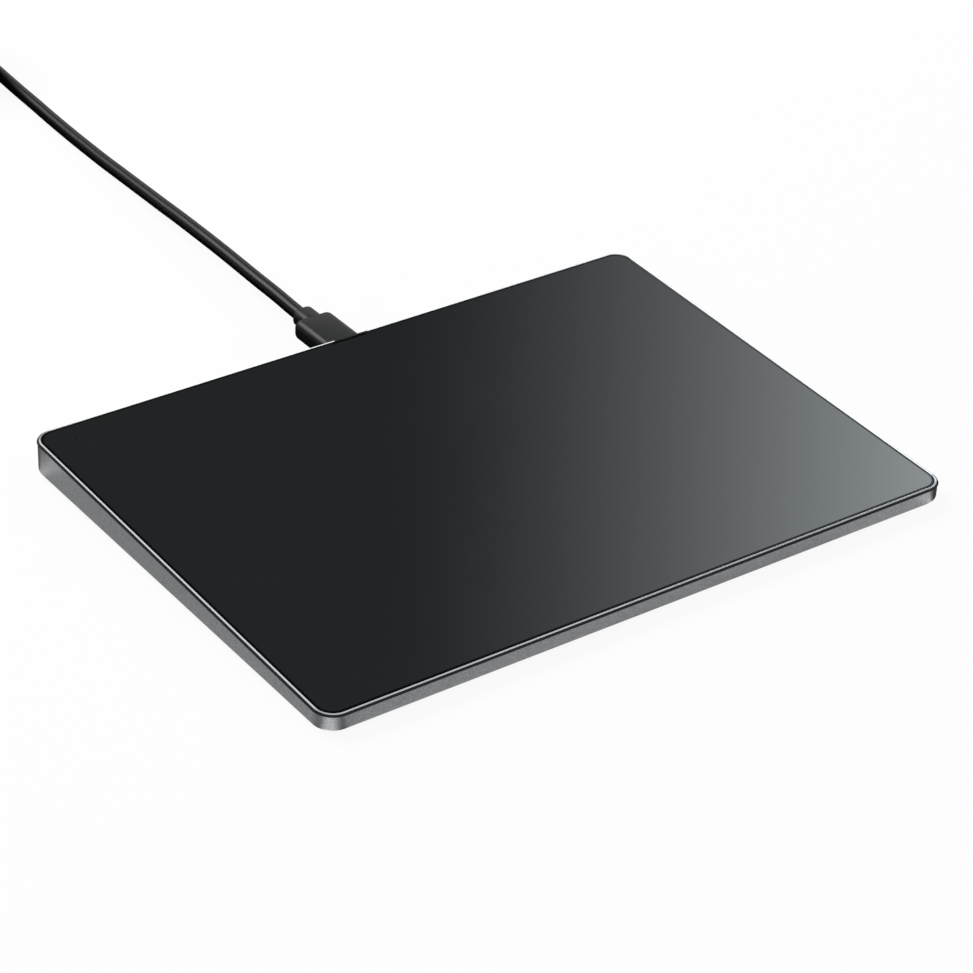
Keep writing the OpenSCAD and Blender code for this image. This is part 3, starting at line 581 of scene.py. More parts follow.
def make_plug_collar():
    """The short strain relief between the plug and the cable."""
    start = PLUG_FRONT + PLUG_L
    collar = add_block(
        "plug_collar",
        (SOCKET_X - COLLAR_W / 2, start - COLLAR_SUNK, SOCKET_Z + COLLAR_UP - COLLAR_H / 2),
        (SOCKET_X + COLLAR_W / 2, start + COLLAR_L, SOCKET_Z + COLLAR_UP + COLLAR_H / 2),
    )
    edit(collar, "EDGE")
    pick(collar, "EDGE", lambda e: runs_along(e, (0, 1, 0)))
    bpy.ops.mesh.bevel(offset=COLLAR_ROUND, segments=8, affect="EDGES")
    pick(collar, "EDGE", lambda e: min(v.co.y for v in e.verts) > start + COLLAR_L - NEAR)
    bpy.ops.mesh.bevel(offset=COLLAR_EDGE, segments=5, affect="EDGES")
    leave()
    smooth(collar)
    return collar


def make_plug_tip():
    """The metal tip that goes into the socket: a flattened tube, open at its front."""
    low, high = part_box("usb_c_shell")
    tip = add_block("plug_tip", low, high)
    round_off = (high[2] - low[2]) / 2 - NEAR
    edit(tip, "EDGE")
    pick(tip, "EDGE", lambda e: runs_along(e, (0, 1, 0)))
    bpy.ops.mesh.bevel(offset=round_off, segments=12, affect="EDGES")
    pick(tip, "FACE", lambda f: f.normal.y < -0.99)
    bpy.ops.mesh.delete(type="FACE")
    leave()
    apply_modifier(tip, "SOLIDIFY", thickness=TIP_T, offset=-1)
    smooth(tip)
    return tip


# Far end of the cable


def turn_along(name, start, axis, profile):
    """A round piece: a disc pushed along an axis, wider or narrower at each step of the profile."""
    start, axis = Vector(start), Vector(axis)
    bpy.ops.object.select_all(action="DESELECT")
    bpy.ops.mesh.primitive_circle_add(
        vertices=40,
        radius=profile[0][1],
        fill_type="NGON",
        location=start + profile[0][0] * axis,
        rotation=axis.to_track_quat("Z", "Y").to_euler(),
    )
    piece = begin(name)
    edit(piece, "FACE")
    bpy.ops.mesh.select_all(action="SELECT")
    for (along, radius), (next_along, next_radius) in zip(profile, profile[1:]):
        bpy.ops.mesh.extrude_region_move(TRANSFORM_OT_translate={"value": (next_along - along) * axis})
        growth = next_radius / radius
        bpy.ops.transform.resize(value=(growth, growth, growth), center_override=start + next_along * axis)
    bpy.ops.mesh.select_all(action="SELECT")
    bpy.ops.mesh.normals_make_consistent(inside=False)
    leave()
    smooth(piece)
    return piece


def make_far_collar():
    """A ribbed strain relief between the cable's end and the far plug."""
    ribs = [(0, 1.95), (0.1, 2.1)]
    for rib in range(3):
        swell = 0.1 * rib
        ribs += [(0.9 + rib, 2.2 + swell), (1.0 + rib, 1.95), (1.15 + rib, 1.95), (1.25 + rib, 2.25 + swell)]
    ribs += [(FAR_COLLAR_L / mm, 2.5)]
    profile = [(along * mm, radius * mm) for along, radius in ribs]
    return turn_along("far_collar", FAR_START, (-1, 0, 0), profile)


def far_block(name, near, length, width, low, high):
    """A block of the far plug, which lies along -X; near is its distance from the cable's end."""
    x, y, z = FAR_START
    return add_block(name, (x - near - length, y - width / 2, z + low), (x - near, y + width / 2, z + high))


def make_far_body():
    """The moulded far plug, with a sunk thumb panel on both faces."""
    body = far_block("far_plug_body", FAR_COLLAR_L, FAR_BODY_L, FAR_BODY_W, -FAR_BODY_H / 2, FAR_BODY_H / 2)
    near = FAR_START[0] - FAR_COLLAR_L
    edit(body, "EDGE")
    pick(body, "EDGE", lambda e: runs_along(e, (1, 0, 0)))
    bpy.ops.mesh.bevel(offset=FAR_ROUND, segments=10, affect="EDGES")
    pick(body, "EDGE", lambda e: min(v.co.x for v in e.verts) > near - NEAR)
    bpy.ops.mesh.bevel(offset=0.95 * FAR_ROUND, segments=8, affect="EDGES")
    pick(body, "EDGE", lambda e: max(v.co.x for v in e.verts) < near - FAR_BODY_L + NEAR)
    bpy.ops.mesh.bevel(offset=FAR_FRONT_EDGE, segments=4, affect="EDGES")
    pick(body, "FACE", lambda f: abs(f.normal.z) > 0.999)
    bpy.ops.mesh.inset(thickness=THUMB_INSET, depth=0)
    bpy.ops.mesh.inset(thickness=THUMB_SLOPE, depth=-THUMB_D)
    leave()
    smooth(body)
    flatten_normals(body)
    return body


def make_far_tip():
    """The far plug's metal shell, folded from sheet, with its two latch windows."""
    near = FAR_COLLAR_L + FAR_BODY_L
    tip = far_block("far_plug_tip", near, FAR_TIP_L, FAR_TIP_W, -FAR_TIP_H / 2, FAR_TIP_H / 2)
    edit(tip, "EDGE")
    pick(tip, "EDGE", lambda e: runs_along(e, (1, 0, 0)))
    bpy.ops.mesh.bevel(offset=FAR_TIP_ROUND, segments=6, affect="EDGES")
    pick(tip, "FACE", lambda f: f.normal.x < -0.99)
    bpy.ops.mesh.delete(type="FACE")
    leave()
    apply_modifier(tip, "SOLIDIFY", thickness=FAR_TIP_T, offset=-1)
    for side in (-1, 1):
        window = far_block("window_cutter", near + WINDOW_NEAR, WINDOW_L, WINDOW_W, -FAR_TIP_H, FAR_TIP_H)
        place(window, Matrix.Translation((0, side * WINDOW_ACROSS, 0)))
        carve(tip, window)
    smooth(tip)
    return tip


def make_far_tongue():
    """The plastic tongue in the far plug's shell, with four contact strips on its inner face."""
    near = FAR_COLLAR_L + FAR_BODY_L
    top = FAR_TIP_H / 2 - FAR_TIP_T
    tongue = far_block(
        "far_plug_tongue", near, FAR_TONGUE_L, FAR_TIP_W - 2 * FAR_TIP_T, top - FAR_TONGUE_T, top
    )
    front = FAR_START[0] - near - FAR_TONGUE_L
    edit(tongue, "EDGE")
    pick(tongue, "EDGE", lambda e: max(v.co.x for v in e.verts) < front + NEAR)
    bpy.ops.mesh.bevel(offset=TONGUE_EDGE, segments=4, affect="EDGES")
    leave()
    smooth(tongue)
    link_material(tongue, finishes["connector_plastic"])

    face = top - FAR_TONGUE_T
    strip = far_block("contact_strip", near, STRIP_L, STRIP_W, face - STRIP_T, face)
    edit(strip, "EDGE")
    pick(strip, "EDGE", lambda e: max(v.co.z for v in e.verts) < FAR_START[2] + face - STRIP_T + NEAR)
    bpy.ops.mesh.bevel(offset=STRIP_EDGE, segments=2, affect="EDGES")
    leave()
    link_material(strip, finishes["insert_brass"])
    place(strip, Matrix.Translation((0, STRIP_PLACES[0], 0)))
    strips = [strip]
    for across in STRIP_PLACES[1:]:
        strips.append(copy_piece(strip, "contact_strip", (0, across - STRIP_PLACES[0], 0)))
    bpy.ops.object.select_all(action="DESELECT")
    for obj in (*strips, tongue):
        obj.select_set(True)
    bpy.context.view_layer.objects.active = tongue
    bpy.ops.object.join()
    return tongue


def make_strap():
    """The strap round the coil: a rounded loop of webbing."""
    coil_mid = Vector(COIL_CENTRE) * mm
    strap = add_block(
        "coil_strap", (STRAP_INNER, -STRAP_W / 2, STRAP_LOW), (STRAP_OUTER, STRAP_W / 2, STRAP_HIGH)
    )
    edit(strap, "EDGE")
    pick(strap, "EDGE", lambda e: runs_along(e, (0, 1, 0)))
    bpy.ops.mesh.bevel(offset=STRAP_ROUND, segments=8, affect="EDGES")
    pick(strap, "FACE", lambda f: abs(f.normal.y) > 0.99)
    bpy.ops.mesh.delete(type="FACE")
    leave()
    apply_modifier(strap, "SOLIDIFY", thickness=STRAP_T, offset=-1)
    apply_modifier(
        strap, "BEVEL", width=STRAP_EDGE, segments=2, limit_method="ANGLE", angle_limit=math.radians(60)
    )
    smooth(strap, 50)
    turn = Matrix.Rotation(math.radians(STRAP_TURN), 4, "Z")
    place(strap, Matrix.Translation((coil_mid.x, coil_mid.y, 0)) @ turn)
    return strap


# Finishes


def new_group(name, inputs, outputs):
    """An empty shader group with number inputs and outputs, and its two end nodes."""
    group = bpy.data.node_groups.new(name, "ShaderNodeTree")
    for label, kind, value in inputs:
        socket = group.interface.new_socket(label, in_out="INPUT", socket_type=kind)
        socket.default_value = value
    for label in outputs:
        group.interface.new_socket(label, in_out="OUTPUT", socket_type="NodeSocketFloat")
    return group, group.nodes.new("NodeGroupInput"), group.nodes.new("NodeGroupOutput")


def add_noise(tree, vector, scale, detail):
    """A noise pattern; its scale comes from a socket."""
    noise = tree.nodes.new("ShaderNodeTexNoise")
    noise.inputs["Detail"].default_value = detail
    noise.inputs["Roughness"].default_value = 0.6
    tree.links.new(vector, noise.inputs["Vector"])
    tree.links.new(scale, noise.inputs["Scale"])
    return noise.outputs[0]


def spread(tree, value, from_low, from_high, to_low, to_high):
    """Maps a value from one range to another."""
    ramp = tree.nodes.new("ShaderNodeMapRange")
    ends = {"From Min": from_low, "From Max": from_high, "To Min": to_low, "To Max": to_high}
    for label, number in ends.items():
        ramp.inputs[label].default_value = number
    tree.links.new(value, ramp.inputs["Value"])
    return ramp.outputs[0]


def build_grain():
    """Fine grain of blasted metal and moulded plastic: a mask and a height."""
    group, entry, leave_node = new_group(
        "surface_grain", [("Scale", "NodeSocketFloat", 4000.0)], ["Grain", "Height"]
    )
    point = group.nodes.new("ShaderNodeTexCoord").outputs["Object"]
    noise = add_noise(group, point, entry.outputs["Scale"], 3)
    group.links.new(spread(group, noise, 0.35, 0.65, 0, 1), leave_node.inputs["Grain"])
    group.links.new(noise, leave_node.inputs["Height"])
    return group


def build_shade():
    """Slow change over a surface, from handling and uneven finish."""
    group, entry, leave_node = new_group("slow_shade", [("Scale", "NodeSocketFloat", 60.0)], ["Shade"])
    point = group.nodes.new("ShaderNodeTexCoord").outputs["Object"]
    noise = add_noise(group, point, entry.outputs["Scale"], 4)
    group.links.new(spread(group, noise, 0.3, 0.7, 0, 1), leave_node.inputs["Shade"])
    return group


def build_lines():
    """Drawn or brushed lines: noise stretched along one direction."""
    group, entry, leave_node = new_group(
        "drawn_lines",
        [("Scale", "NodeSocketFloat", 3000.0), ("Stretch", "NodeSocketVector", (0.02, 1.0, 1.0))],
        ["Lines", "Height"],
    )
    point = group.nodes.new("ShaderNodeTexCoord").outputs["Object"]
    stretch = group.nodes.new("ShaderNodeVectorMath")
    stretch.operation = "MULTIPLY"
    group.links.new(point, stretch.inputs[0])
    group.links.new(entry.outputs["Stretch"], stretch.inputs[1])
    noise = add_noise(group, stretch.outputs[0], entry.outputs["Scale"], 2)
    group.links.new(spread(group, noise, 0.3, 0.7, 0, 1), leave_node.inputs["Lines"])
    group.links.new(noise, leave_node.inputs["Height"])
    return group


def use_group(tree, group, **values):
    node = tree.nodes.new("ShaderNodeGroup")
    node.node_tree = group
    for label, value in values.items():
        node.inputs[label].default_value = value
    return node


def new_finish(name, metallic=0.0, specular=0.5):
    material = bpy.data.materials.new(name)
    material.use_nodes = True
    shader = material.node_tree.nodes["Principled BSDF"]
    shader.inputs["Metallic"].default_value = metallic
    shader.inputs["Specular IOR Level"].default_value = specular
    return material, material.node_tree, shader


def blend_colors(tree, mask, first, second):
    """A colour between two, by a mask."""
    mix = tree.nodes.new("ShaderNodeMix")
    mix.data_type = "RGBA"
    mix.inputs[6].default_value = (*first, 1)
    mix.inputs[7].default_value = (*second, 1)
    tree.links.new(mask, mix.inputs[0])
    return mix.outputs[2]


def add_relief(tree, shader, height, strength, depth):
    """Small relief on a surface, from a height pattern."""
    bump = tree.nodes.new("ShaderNodeBump")
    bump.inputs["Strength"].default_value = strength
    bump.inputs["Distance"].default_value = depth
    tree.links.new(height, bump.inputs["Height"])
    tree.links.new(bump.outputs[0], shader.inputs["Normal"])


def grained(name, dark, light, rough, scale=4000.0, strength=0.2, depth=0.02 * mm, **surface):
    """A finish whose colour, gloss and relief follow a fine grain, with a slow change over it."""
    material, tree, shader = new_finish(name, **surface)
    grain = use_group(tree, grain_group, Scale=scale)
    shade = use_group(tree, shade_group, Scale=45.0)
    tree.links.new(blend_colors(tree, grain.outputs["Grain"], dark, light), shader.inputs["Base Color"])
    tree.links.new(spread(tree, shade.outputs["Shade"], 0, 1, *rough), shader.inputs["Roughness"])
    add_relief(tree, shader, grain.outputs["Height"], strength, depth)
    return material


def lined(name, dark, light, rough, stretch, scale=3000.0, strength=0.15, depth=0.01 * mm, **surface):
    """A drawn or brushed metal finish."""
    material, tree, shader = new_finish(name, metallic=1.0, **surface)
    lines = use_group(tree, line_group, Scale=scale, Stretch=stretch)
    tree.links.new(blend_colors(tree, lines.outputs["Lines"], dark, light), shader.inputs["Base Color"])
    tree.links.new(spread(tree, lines.outputs["Lines"], 0, 1, *rough), shader.inputs["Roughness"])
    add_relief(tree, shader, lines.outputs["Height"], strength, depth)
    return material


def gray(level):
    """A slightly cool gray."""
    return (level, level * 1.03, level * 1.06)


def glass_finish():
    """Black-printed glass, with faint smears in its gloss."""
    material, tree, shader = new_finish("black_glass")
    shader.inputs["IOR"].default_value = 1.52
    shade = use_group(tree, shade_group, Scale=35.0)
    black = blend_colors(tree, shade.outputs["Shade"], gray(0.0038), gray(0.0044))
    tree.links.new(black, shader.inputs["Base Color"])
    tree.links.new(spread(tree, shade.outputs["Shade"], 0, 1, 0.06, 0.085), shader.inputs["Roughness"])
    return material


def board_finish():
    """Solder mask over a pattern of tracks."""
    material, tree, shader = new_finish("circuit_board")
    point = tree.nodes.new("ShaderNodeTexCoord").outputs["Object"]
    tracks = tree.nodes.new("ShaderNodeTexBrick")
    tracks.inputs["Scale"].default_value = 260.0
    tracks.inputs["Mortar Size"].default_value = 0.03
    tree.links.new(point, tracks.inputs["Vector"])
    mask = blend_colors(tree, tracks.outputs["Fac"], (0.006, 0.045, 0.022), (0.012, 0.085, 0.04))
    tree.links.new(mask, shader.inputs["Base Color"])
    tree.links.new(spread(tree, tracks.outputs["Fac"], 0, 1, 0.35, 0.28), shader.inputs["Roughness"])
    add_relief(tree, shader, tracks.outputs["Fac"], 0.3, 0.02 * mm)
    return material


def film_finish():
    """Amber film over copper tracks."""
    material, tree, shader = new_finish("flex_film")
    point = tree.nodes.new("ShaderNodeTexCoord").outputs["Object"]
    tracks = tree.nodes.new("ShaderNodeTexWave")
    tracks.bands_direction = "X"
    tracks.inputs["Scale"].default_value = 600.0
    tree.links.new(point, tracks.inputs["Vector"])
    amber = blend_colors(tree, tracks.outputs["Fac"], (0.35, 0.12, 0.015), (0.5, 0.2, 0.04))
    tree.links.new(amber, shader.inputs["Base Color"])
    tree.links.new(spread(tree, tracks.outputs["Fac"], 0, 1, 0.3, 0.2), shader.inputs["Roughness"])
    add_relief(tree, shader, tracks.outputs["Fac"], 0.2, 0.02 * mm)
    return material


def webbing_finish():
    """Woven webbing: two crossed rows of threads."""
    material, tree, shader = new_finish("strap_webbing", specular=0.3)
    point = tree.nodes.new("ShaderNodeTexCoord").outputs["Object"]
    threads = []
    for direction in ("DIAGONAL", "Z"):
        rows = tree.nodes.new("ShaderNodeTexWave")
        rows.bands_direction = direction
        rows.inputs["Scale"].default_value = 420.0
        tree.links.new(point, rows.inputs["Vector"])
        threads.append(rows.outputs["Fac"])
    weave = tree.nodes.new("ShaderNodeMath")
    weave.operation = "MULTIPLY"
    tree.links.new(threads[0], weave.inputs[0])
    tree.links.new(threads[1], weave.inputs[1])
    black = blend_colors(tree, weave.outputs[0], gray(0.006), gray(0.022))
    tree.links.new(black, shader.inputs["Base Color"])
    tree.links.new(spread(tree, weave.outputs[0], 0, 1, 0.9, 0.7), shader.inputs["Roughness"])
    add_relief(tree, shader, weave.outputs[0], 0.6, 0.1 * mm)
    return material


grain_group = build_grain()
shade_group = build_shade()
line_group = build_lines()

wall_finish = grained("blasted_wall", gray(0.19), gray(0.33), (0.4, 0.46), strength=0.25, metallic=1.0)
land_finish = lined("polished_rim", gray(0.76), gray(0.8), (0.15, 0.19), (1, 1, 1), strength=0.01)
bevel_finish = grained("rim_edge", gray(0.006), gray(0.01), (0.12, 0.16), strength=0.02, specular=0.5)
lens_finish = grained("indicator_lens", gray(0.001), gray(0.002), (0.3, 0.36), strength=0.05, specular=0.1)
webbing = webbing_finish()

finishes = {
    "anodised_aluminium": wall_finish,
    "cover_plastic": grained(
        "cover_plastic", gray(0.014), gray(0.026), (0.55, 0.65), scale=2500.0, strength=0.5
    ),
    "screw_steel": lined("screw_steel", gray(0.4), gray(0.55), (0.25, 0.38), (1, 0.1, 1)),
    "foot_rubber": grained(
        "foot_rubber", gray(0.009), gray(0.016), (0.7, 0.85), scale=3000.0, strength=0.5
    ),
    "seal_foam": grained(
        "seal_foam", gray(0.004), gray(0.02), (0.85, 0.95), scale=1500.0, strength=1.0, depth=0.2 * mm
    ),
    "sheet_steel": lined("sheet_steel", gray(0.5), gray(0.6), (0.28, 0.4), (0.02, 1, 1)),
    "pin_steel": lined("pin_steel", gray(0.58), gray(0.66), (0.15, 0.25), (1, 0.02, 0.02)),
    "circuit_board": board_finish(),
    "chip_plastic": grained(
        "chip_plastic", gray(0.008), gray(0.014), (0.5, 0.6), scale=5000.0, strength=0.4
    ),
    "connector_plastic": grained("connector_plastic", (0.6, 0.58, 0.5), (0.68, 0.66, 0.58), (0.4, 0.5)),
    "connector_steel": lined("connector_steel", gray(0.55), gray(0.68), (0.2, 0.32), (1, 0.03, 1)),
    "insert_brass": lined("insert_brass", (0.62, 0.4, 0.13), (0.74, 0.52, 0.2), (0.2, 0.3), (1, 1, 0.05)),
    "black_glass": glass_finish(),
    # The band's own black plastic, made near black and almost without gloss as painted shade of the recessed
    # seam round the glass
    "band_plastic": grained(
        "band_plastic", gray(0.0006), gray(0.0012), (0.09, 0.13), strength=0.01, specular=0.08
    ),
    "plunger_plastic": grained("plunger_plastic", (0.5, 0.5, 0.48), (0.58, 0.58, 0.56), (0.4, 0.5)),
    "flex_film": film_finish(),
    "plug_plastic": grained(
        "plug_plastic", gray(0.002), gray(0.004), (0.38, 0.45), strength=0.06, specular=0.33
    ),
    "cable_jacket": grained(
        "cable_jacket", gray(0.001), gray(0.002), (0.32, 0.38), strength=0.04, specular=0.25
    ),
}


def link_material(obj, material):
    obj.data.materials.clear()
    obj.data.materials.append(material)


def paint_glass(glass):
    """The face, and the edge and a fine line round it in the black of the band; the edge and the line are
    painted shade of the seam round the glass.
    """
    glass.data.materials.clear()
    for material in (finishes["black_glass"], finishes["band_plastic"]):
        glass.data.materials.append(material)
    for face in glass.data.polygons:
        # Edge faces and the ring are painted black as shade of the seam
        if abs(face.normal.dot(plate_up)) < 0.99 or on_glass_shade_ring(face.center):
            face.material_index = 1


def paint_housing(shell):
    """Three finishes on the housing: blasted wall, polished rim and its dark edges."""
    shell.data.materials.clear()
    for material in (wall_finish, land_finish, bevel_finish):
        shell.data.materials.append(material)
    for face in shell.data.polygons:
        height = height_on_plate(face.center)
        upward = face.normal.dot(plate_up)
        if upward > 0.95 and height > -LAND_DROP - PAINT_SLACK:
            face.material_index = 1
        elif upward > 0.3 and height > -BEVEL_H - PAINT_SLACK:
            face.material_index = 2


# Stage


def new_stage_material(name):
    material = bpy.data.materials.new(name)
    material.use_nodes = True
    tree = material.node_tree
    tree.nodes.clear()
    return material, tree


def add_math(tree, operation, first, second, third=None):
    """A math node; each input is a socket or a number."""
    node = tree.nodes.new("ShaderNodeMath")
    node.operation = operation
    for slot, value in zip(node.inputs, (first, second, third)):
        if value is None:
            continue
        if isinstance(value, (int, float)):
            slot.default_value = value
        else:
            tree.links.new(value, slot)
    return node.outputs[0]


def add_floor():
    """White paper; the camera sees it near white, with the pad's shadow on it."""
    bpy.ops.object.select_all(action="DESELECT")
    bpy.ops.mesh.primitive_plane_add(size=40, location=(0, 0, -0.05 * mm))
    floor = begin("floor")
    material, tree = new_stage_material("floor_paper")
    paper = tree.nodes.new("ShaderNodeBsdfDiffuse")
    paper.inputs["Color"].default_value = PAPER
    white = tree.nodes.new("ShaderNodeEmission")
    path = tree.nodes.new("ShaderNodeLightPath")
    seen = add_math(tree, "MULTIPLY", path.outputs["Is Camera Ray"], PAPER_SEEN)
    bounced = add_math(tree, "MAXIMUM", path.outputs["Is Glossy Ray"], path.outputs["Is Transmission Ray"])
    mirrored = add_math(tree, "MULTIPLY", bounced, PAPER_MIRRORED)
    mix = tree.nodes.new("ShaderNodeMixShader")
    out = tree.nodes.new("ShaderNodeOutputMaterial")
    tree.links.new(add_math(tree, "MAXIMUM", seen, mirrored), mix.inputs[0])
    tree.links.new(paper.outputs[0], mix.inputs[1])
    tree.links.new(white.outputs[0], mix.inputs[2])
    tree.links.new(mix.outputs[0], out.inputs[0])
    link_material(floor, material)


def hide_card(card):
    """A card that only shows in reflections."""
    card.visible_camera = False
    card.visible_diffuse = False
    card.visible_shadow = False


def add_gradient_card():
    """A softbox that fades from dark to light, where the glass mirrors it towards the camera."""
    right, up, forward = camera_axes()
    offset = (CAMERA_PLACE - plate_mid).dot(plate_up)
    mirrored_place = CAMERA_PLACE - 2 * offset * plate_up
    ahead, across, above = (v - 2 * v.dot(plate_up) * plate_up for v in (forward, right, up))
    bpy.ops.object.select_all(action="DESELECT")
    bpy.ops.mesh.primitive_plane_add(size=1)
    card = bpy.context.object
    card.name = "gradient_card"
    card.scale = (CARD_W, CARD_H, 1)
    bpy.ops.object.transform_apply(location=False, rotation=False, scale=True)
    turn = Matrix((across, above, across.cross(above))).transposed().to_4x4()
    card.matrix_world = Matrix.Translation(mirrored_place + CARD_REACH * ahead) @ turn
    material, tree = new_stage_material("card_gradient")
    split = tree.nodes.new("ShaderNodeSeparateXYZ")
    point = tree.nodes.new("ShaderNodeTexCoord").outputs["Object"]
    tree.links.new(point, split.inputs[0])
    fall = add_math(tree, "MULTIPLY_ADD", split.outputs["Y"], CARD_FALL, 1.0)
    rise = add_math(tree, "MULTIPLY_ADD", split.outputs["X"], 1 / CARD_RISE, -CARD_START / CARD_RISE)
    curve = add_math(tree, "POWER", add_math(tree, "MAXIMUM", rise, 0.0), CARD_POWER)
    glow = tree.nodes.new("ShaderNodeEmission")
    glow.inputs["Color"].default_value = CARD_COLOR
    level = add_math(tree, "MULTIPLY_ADD", curve, CARD_GAIN, CARD_BASE)
    tree.links.new(add_math(tree, "MULTIPLY", level, fall), glow.inputs["Strength"])
    out = tree.nodes.new("ShaderNodeOutputMaterial")
    tree.links.new(glow.outputs[0], out.inputs[0])
    link_material(card, material)
    hide_card(card)


def fade_edge(tree, surface, point, start, end):
    """Lets a card fade to nothing between two distances from its middle."""
    distance = tree.nodes.new("ShaderNodeVectorMath")
    distance.operation = "LENGTH"
    tree.links.new(point, distance.inputs[0])
    fade = tree.nodes.new("ShaderNodeMapRange")
    fade.interpolation_type = "SMOOTHSTEP"
    fade.inputs["From Min"].default_value = start
    fade.inputs["From Max"].default_value = end
    tree.links.new(distance.outputs["Value"], fade.inputs["Value"])
    mix = tree.nodes.new("ShaderNodeMixShader")
    clear = tree.nodes.new("ShaderNodeBsdfTransparent")
    tree.links.new(fade.outputs["Result"], mix.inputs[0])
    tree.links.new(surface, mix.inputs[1])
    tree.links.new(clear.outputs[0], mix.inputs[2])
    return mix.outputs[0]


def add_floor_card(name, corner, height, radius, azimuth, stops):
    """A round card on the floor at a corner of the pad, lighter and darker by direction."""
    bpy.ops.object.select_all(action="DESELECT")
    bpy.ops.mesh.primitive_circle_add(vertices=64, radius=radius, fill_type="NGON")
    card = bpy.context.object
    card.name = name
    turn = Matrix.Rotation(-math.radians(azimuth), 4, "Z")
    card.matrix_world = Matrix.Translation((*corner, height)) @ turn
    material, tree = new_stage_material(name)
    split = tree.nodes.new("ShaderNodeSeparateXYZ")
    point = tree.nodes.new("ShaderNodeTexCoord").outputs["Object"]
    tree.links.new(point, split.inputs[0])
    angle = add_math(tree, "ARCTAN2", split.outputs["X"], split.outputs["Y"])
    share = add_math(tree, "MULTIPLY_ADD", angle, 1 / math.pi, 0.5)
    ramp = tree.nodes.new("ShaderNodeValToRGB")
    ramp.color_ramp.interpolation = "EASE"
    keys = ramp.color_ramp.elements
    keys.remove(keys[1])
    for number, (degrees, level) in enumerate(stops):
        key = keys[0] if number == 0 else keys.new((degrees + 90) / 180)
        key.position = (degrees + 90) / 180
        key.color = (level, level, level, 1)
    glow = tree.nodes.new("ShaderNodeEmission")
    tree.links.new(share, ramp.inputs[0])
    tree.links.new(ramp.outputs[0], glow.inputs["Color"])
    glow.inputs["Strength"].default_value = FLOOR_CARD_GLOW
    out = tree.nodes.new("ShaderNodeOutputMaterial")
    surface = fade_edge(tree, glow.outputs[0], point, FLOOR_CARD_FADE * radius, radius)
    tree.links.new(surface, out.inputs[0])
    link_material(card, material)
    hide_card(card)


def make_card_black(name, soft):
    """Black paper; the soft kind fades out towards its edges."""
    material, tree = new_stage_material(name)
    black = tree.nodes.new("ShaderNodeBsdfDiffuse")
    black.inputs["Color"].default_value = CARD_BLACK
    surface = black.outputs[0]
    if soft:
        point = tree.nodes.new("ShaderNodeTexCoord").outputs["Object"]
        surface = fade_edge(tree, surface, point, *SOFT_EDGE)
    out = tree.nodes.new("ShaderNodeOutputMaterial")
    tree.links.new(surface, out.inputs[0])
    return material


def add_black_card(name, material, place, width, length, tip=0, lean=0, turn=0):
    """A black card, tipped about X, leant about Y and turned about Z, that only shows in reflections."""
    bpy.ops.object.select_all(action="DESELECT")
    bpy.ops.mesh.primitive_plane_add(size=1)
    card = bpy.context.object
    card.name = name
    card.location = place
    card.rotation_euler = [math.radians(angle) for angle in (tip, lean, turn)]
    card.scale = (width, length, 1)
    link_material(card, material)
    hide_card(card)


def add_lamp(name, place, width, height, watts):
    """A soft flat lamp that faces the pad."""
    lamp_data = bpy.data.lights.new(name, "AREA")
    lamp_data.shape = "RECTANGLE"
    lamp_data.size = width
    lamp_data.size_y = height
    lamp_data.energy = watts
    lamp = bpy.data.objects.new(name, lamp_data)
    lamp.location = place
    lamp.rotation_euler = (-Vector(place)).to_track_quat("-Z", "Y").to_euler()
    bpy.context.scene.collection.objects.link(lamp)


def light_world():
    """Even light from all round; the camera sees it as a white backdrop, and gloss as a dimmer room."""
    world = bpy.data.worlds.new("studio")
    bpy.context.scene.world = world
    world.use_nodes = True
    tree = world.node_tree
    path = tree.nodes.new("ShaderNodeLightPath")
    level = add_math(tree, "MULTIPLY_ADD", path.outputs["Is Camera Ray"], 1 - WORLD_LIGHT, WORLD_LIGHT)
    bounced = add_math(tree, "MAXIMUM", path.outputs["Is Glossy Ray"], path.outputs["Is Transmission Ray"])
    level = add_math(tree, "MULTIPLY_ADD", bounced, ROOM_LIGHT - WORLD_LIGHT, level)
    backdrop = tree.nodes["Background"]
    backdrop.inputs["Color"].default_value = (1, 1, 1, 1)
    tree.links.new(level, backdrop.inputs["Strength"])


# Assembly

bpy.context.scene.view_settings.view_transform = "Standard"

for subpart in frame["record"]["subparts"]:
    link_material(nodes[subpart["node"]], finishes[subpart["material_slot"]])

cable_route = cable_points()
cable = make_cable(cable_route)
dress(cable, "usb_cable", "cable_jacket", "cable_lead", "cable_coil", "cable_tail")
link_material(cable, finishes["cable_jacket"])

shell = dress(make_housing(), "base", "anodised_aluminium", "housing_frame")
paint_housing(shell)
glass = dress(make_glass(), "touch_plate", "black_glass", "glass_plate")
paint_glass(glass)
lens = dress(make_lens(), "touch_plate", "band_plastic", "indicator_lens")
link_material(lens, lens_finish)
first_foot = make_foot("foot_front_left")
link_material(first_foot, finishes["foot_rubber"])
dress(first_foot, "base", "foot_rubber", "foot_front_left")
first_corner = Vector(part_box("foot_front_left")[0])
for foot_node in ("foot_front_right", "foot_rear_left", "foot_rear_right"):
    foot = copy_piece(first_foot, foot_node + "_pad", Vector(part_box(foot_node)[0]) - first_corner)
    dress(foot, "base", "foot_rubber", foot_node)

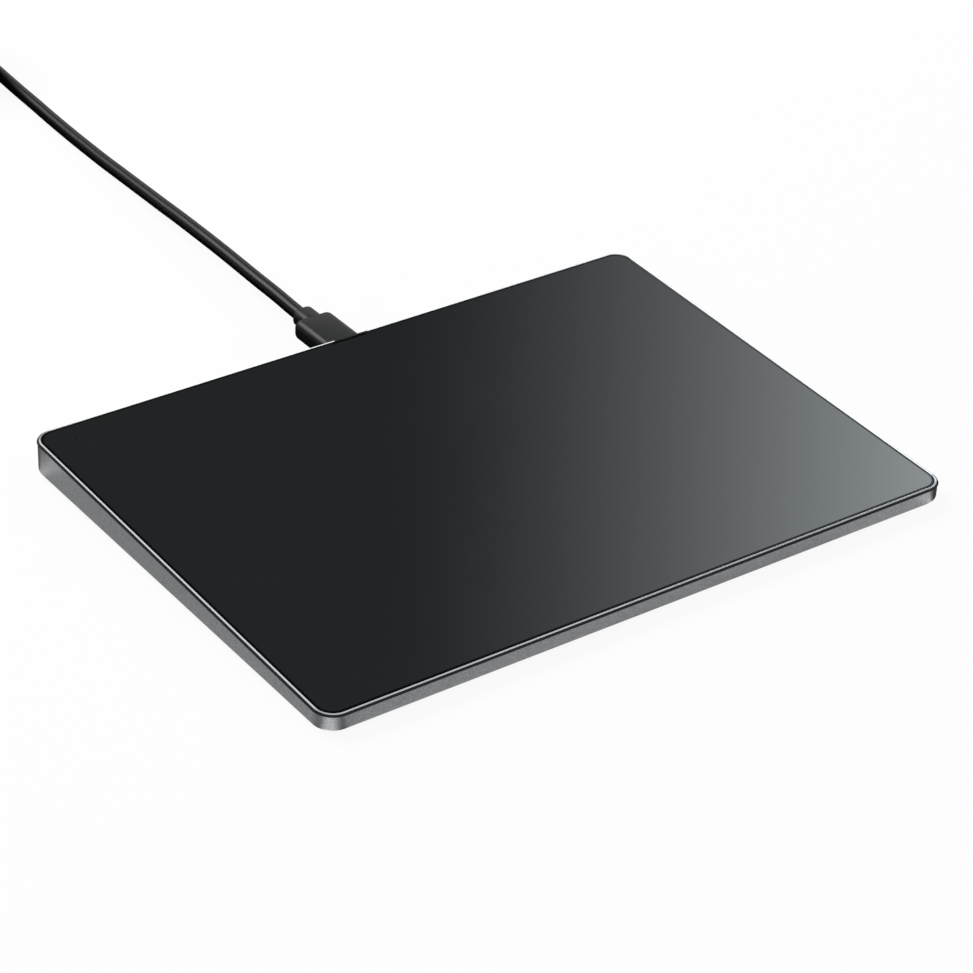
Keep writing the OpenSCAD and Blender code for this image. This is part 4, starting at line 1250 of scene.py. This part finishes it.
plug_body = dress(make_plug_body(), "usb_cable", "plug_plastic", "usb_c_overmould")
plug_collar = dress(make_plug_collar(), "usb_cable", "plug_plastic", "usb_c_collar")
plug_tip = dress(make_plug_tip(), "usb_cable", "connector_steel", "usb_c_shell")
far_collar = dress(make_far_collar(), "usb_cable", "plug_plastic", "usb_a_collar")
far_body = dress(make_far_body(), "usb_cable", "plug_plastic", "usb_a_overmould")
far_tip = dress(make_far_tip(), "usb_cable", "connector_steel", "usb_a_shell")
far_tongue = dress(make_far_tongue(), "usb_cable", "connector_plastic", "usb_a_tongue")
strap = dress(make_strap(), "usb_cable", "plug_plastic", "cable_tie")
for piece in (plug_body, plug_collar, far_collar, far_body):
    link_material(piece, finishes["plug_plastic"])
for piece in (plug_tip, far_tip):
    link_material(piece, finishes["connector_steel"])
link_material(strap, webbing)

add_floor()
add_gradient_card()
corner_x, corner_y = BODY_W / 2 - CORNER_R, BODY_D / 2 - CORNER_R
add_floor_card("card_front_left", (-corner_x, -corner_y), 0.03 * mm, 80 * mm, 222, FRONT_LEFT_STOPS)
add_floor_card("card_front_right", (corner_x, -corner_y), 0.04 * mm, 32 * mm, 90, FRONT_RIGHT_STOPS)
add_floor_card("card_rear_left", (-corner_x, corner_y), 0.05 * mm, 80 * mm, 0, REAR_LEFT_STOPS)
card_black = make_card_black("card_black", False)
card_soft = make_card_black("card_soft", True)
# On the floor beside the plug and the cable, so that their sides stay black
add_black_card("dark_floor_card", card_black, (5 * mm, 163 * mm, 0.02 * mm), 100 * mm, 194 * mm)
# Behind the pad, for dark flanks on the plug and the cable
add_black_card("dark_panel_left", card_soft, (-0.946, 0.739, 0.3), 1.5, 0.9, tip=90, turn=52)
add_black_card("dark_panel_right", card_soft, (1.141, 0.371, 0.13), 1.0, 0.34, tip=90, turn=-72)
# Over the left rim, so that the key lamp isn't mirrored in its outer edge
add_black_card("dark_flag", card_soft, (-134 * mm, 68 * mm, 56 * mm), 90 * mm, 340 * mm, lean=-45)
# Over the plug, so that the rim in front of it is dark
add_black_card("dark_plug_card", card_black, (3.6 * mm, 61.4 * mm, 10.1 * mm), 9.2 * mm, 3 * mm, tip=90)
for lamp in LAMPS:
    add_lamp(*lamp)
light_world()
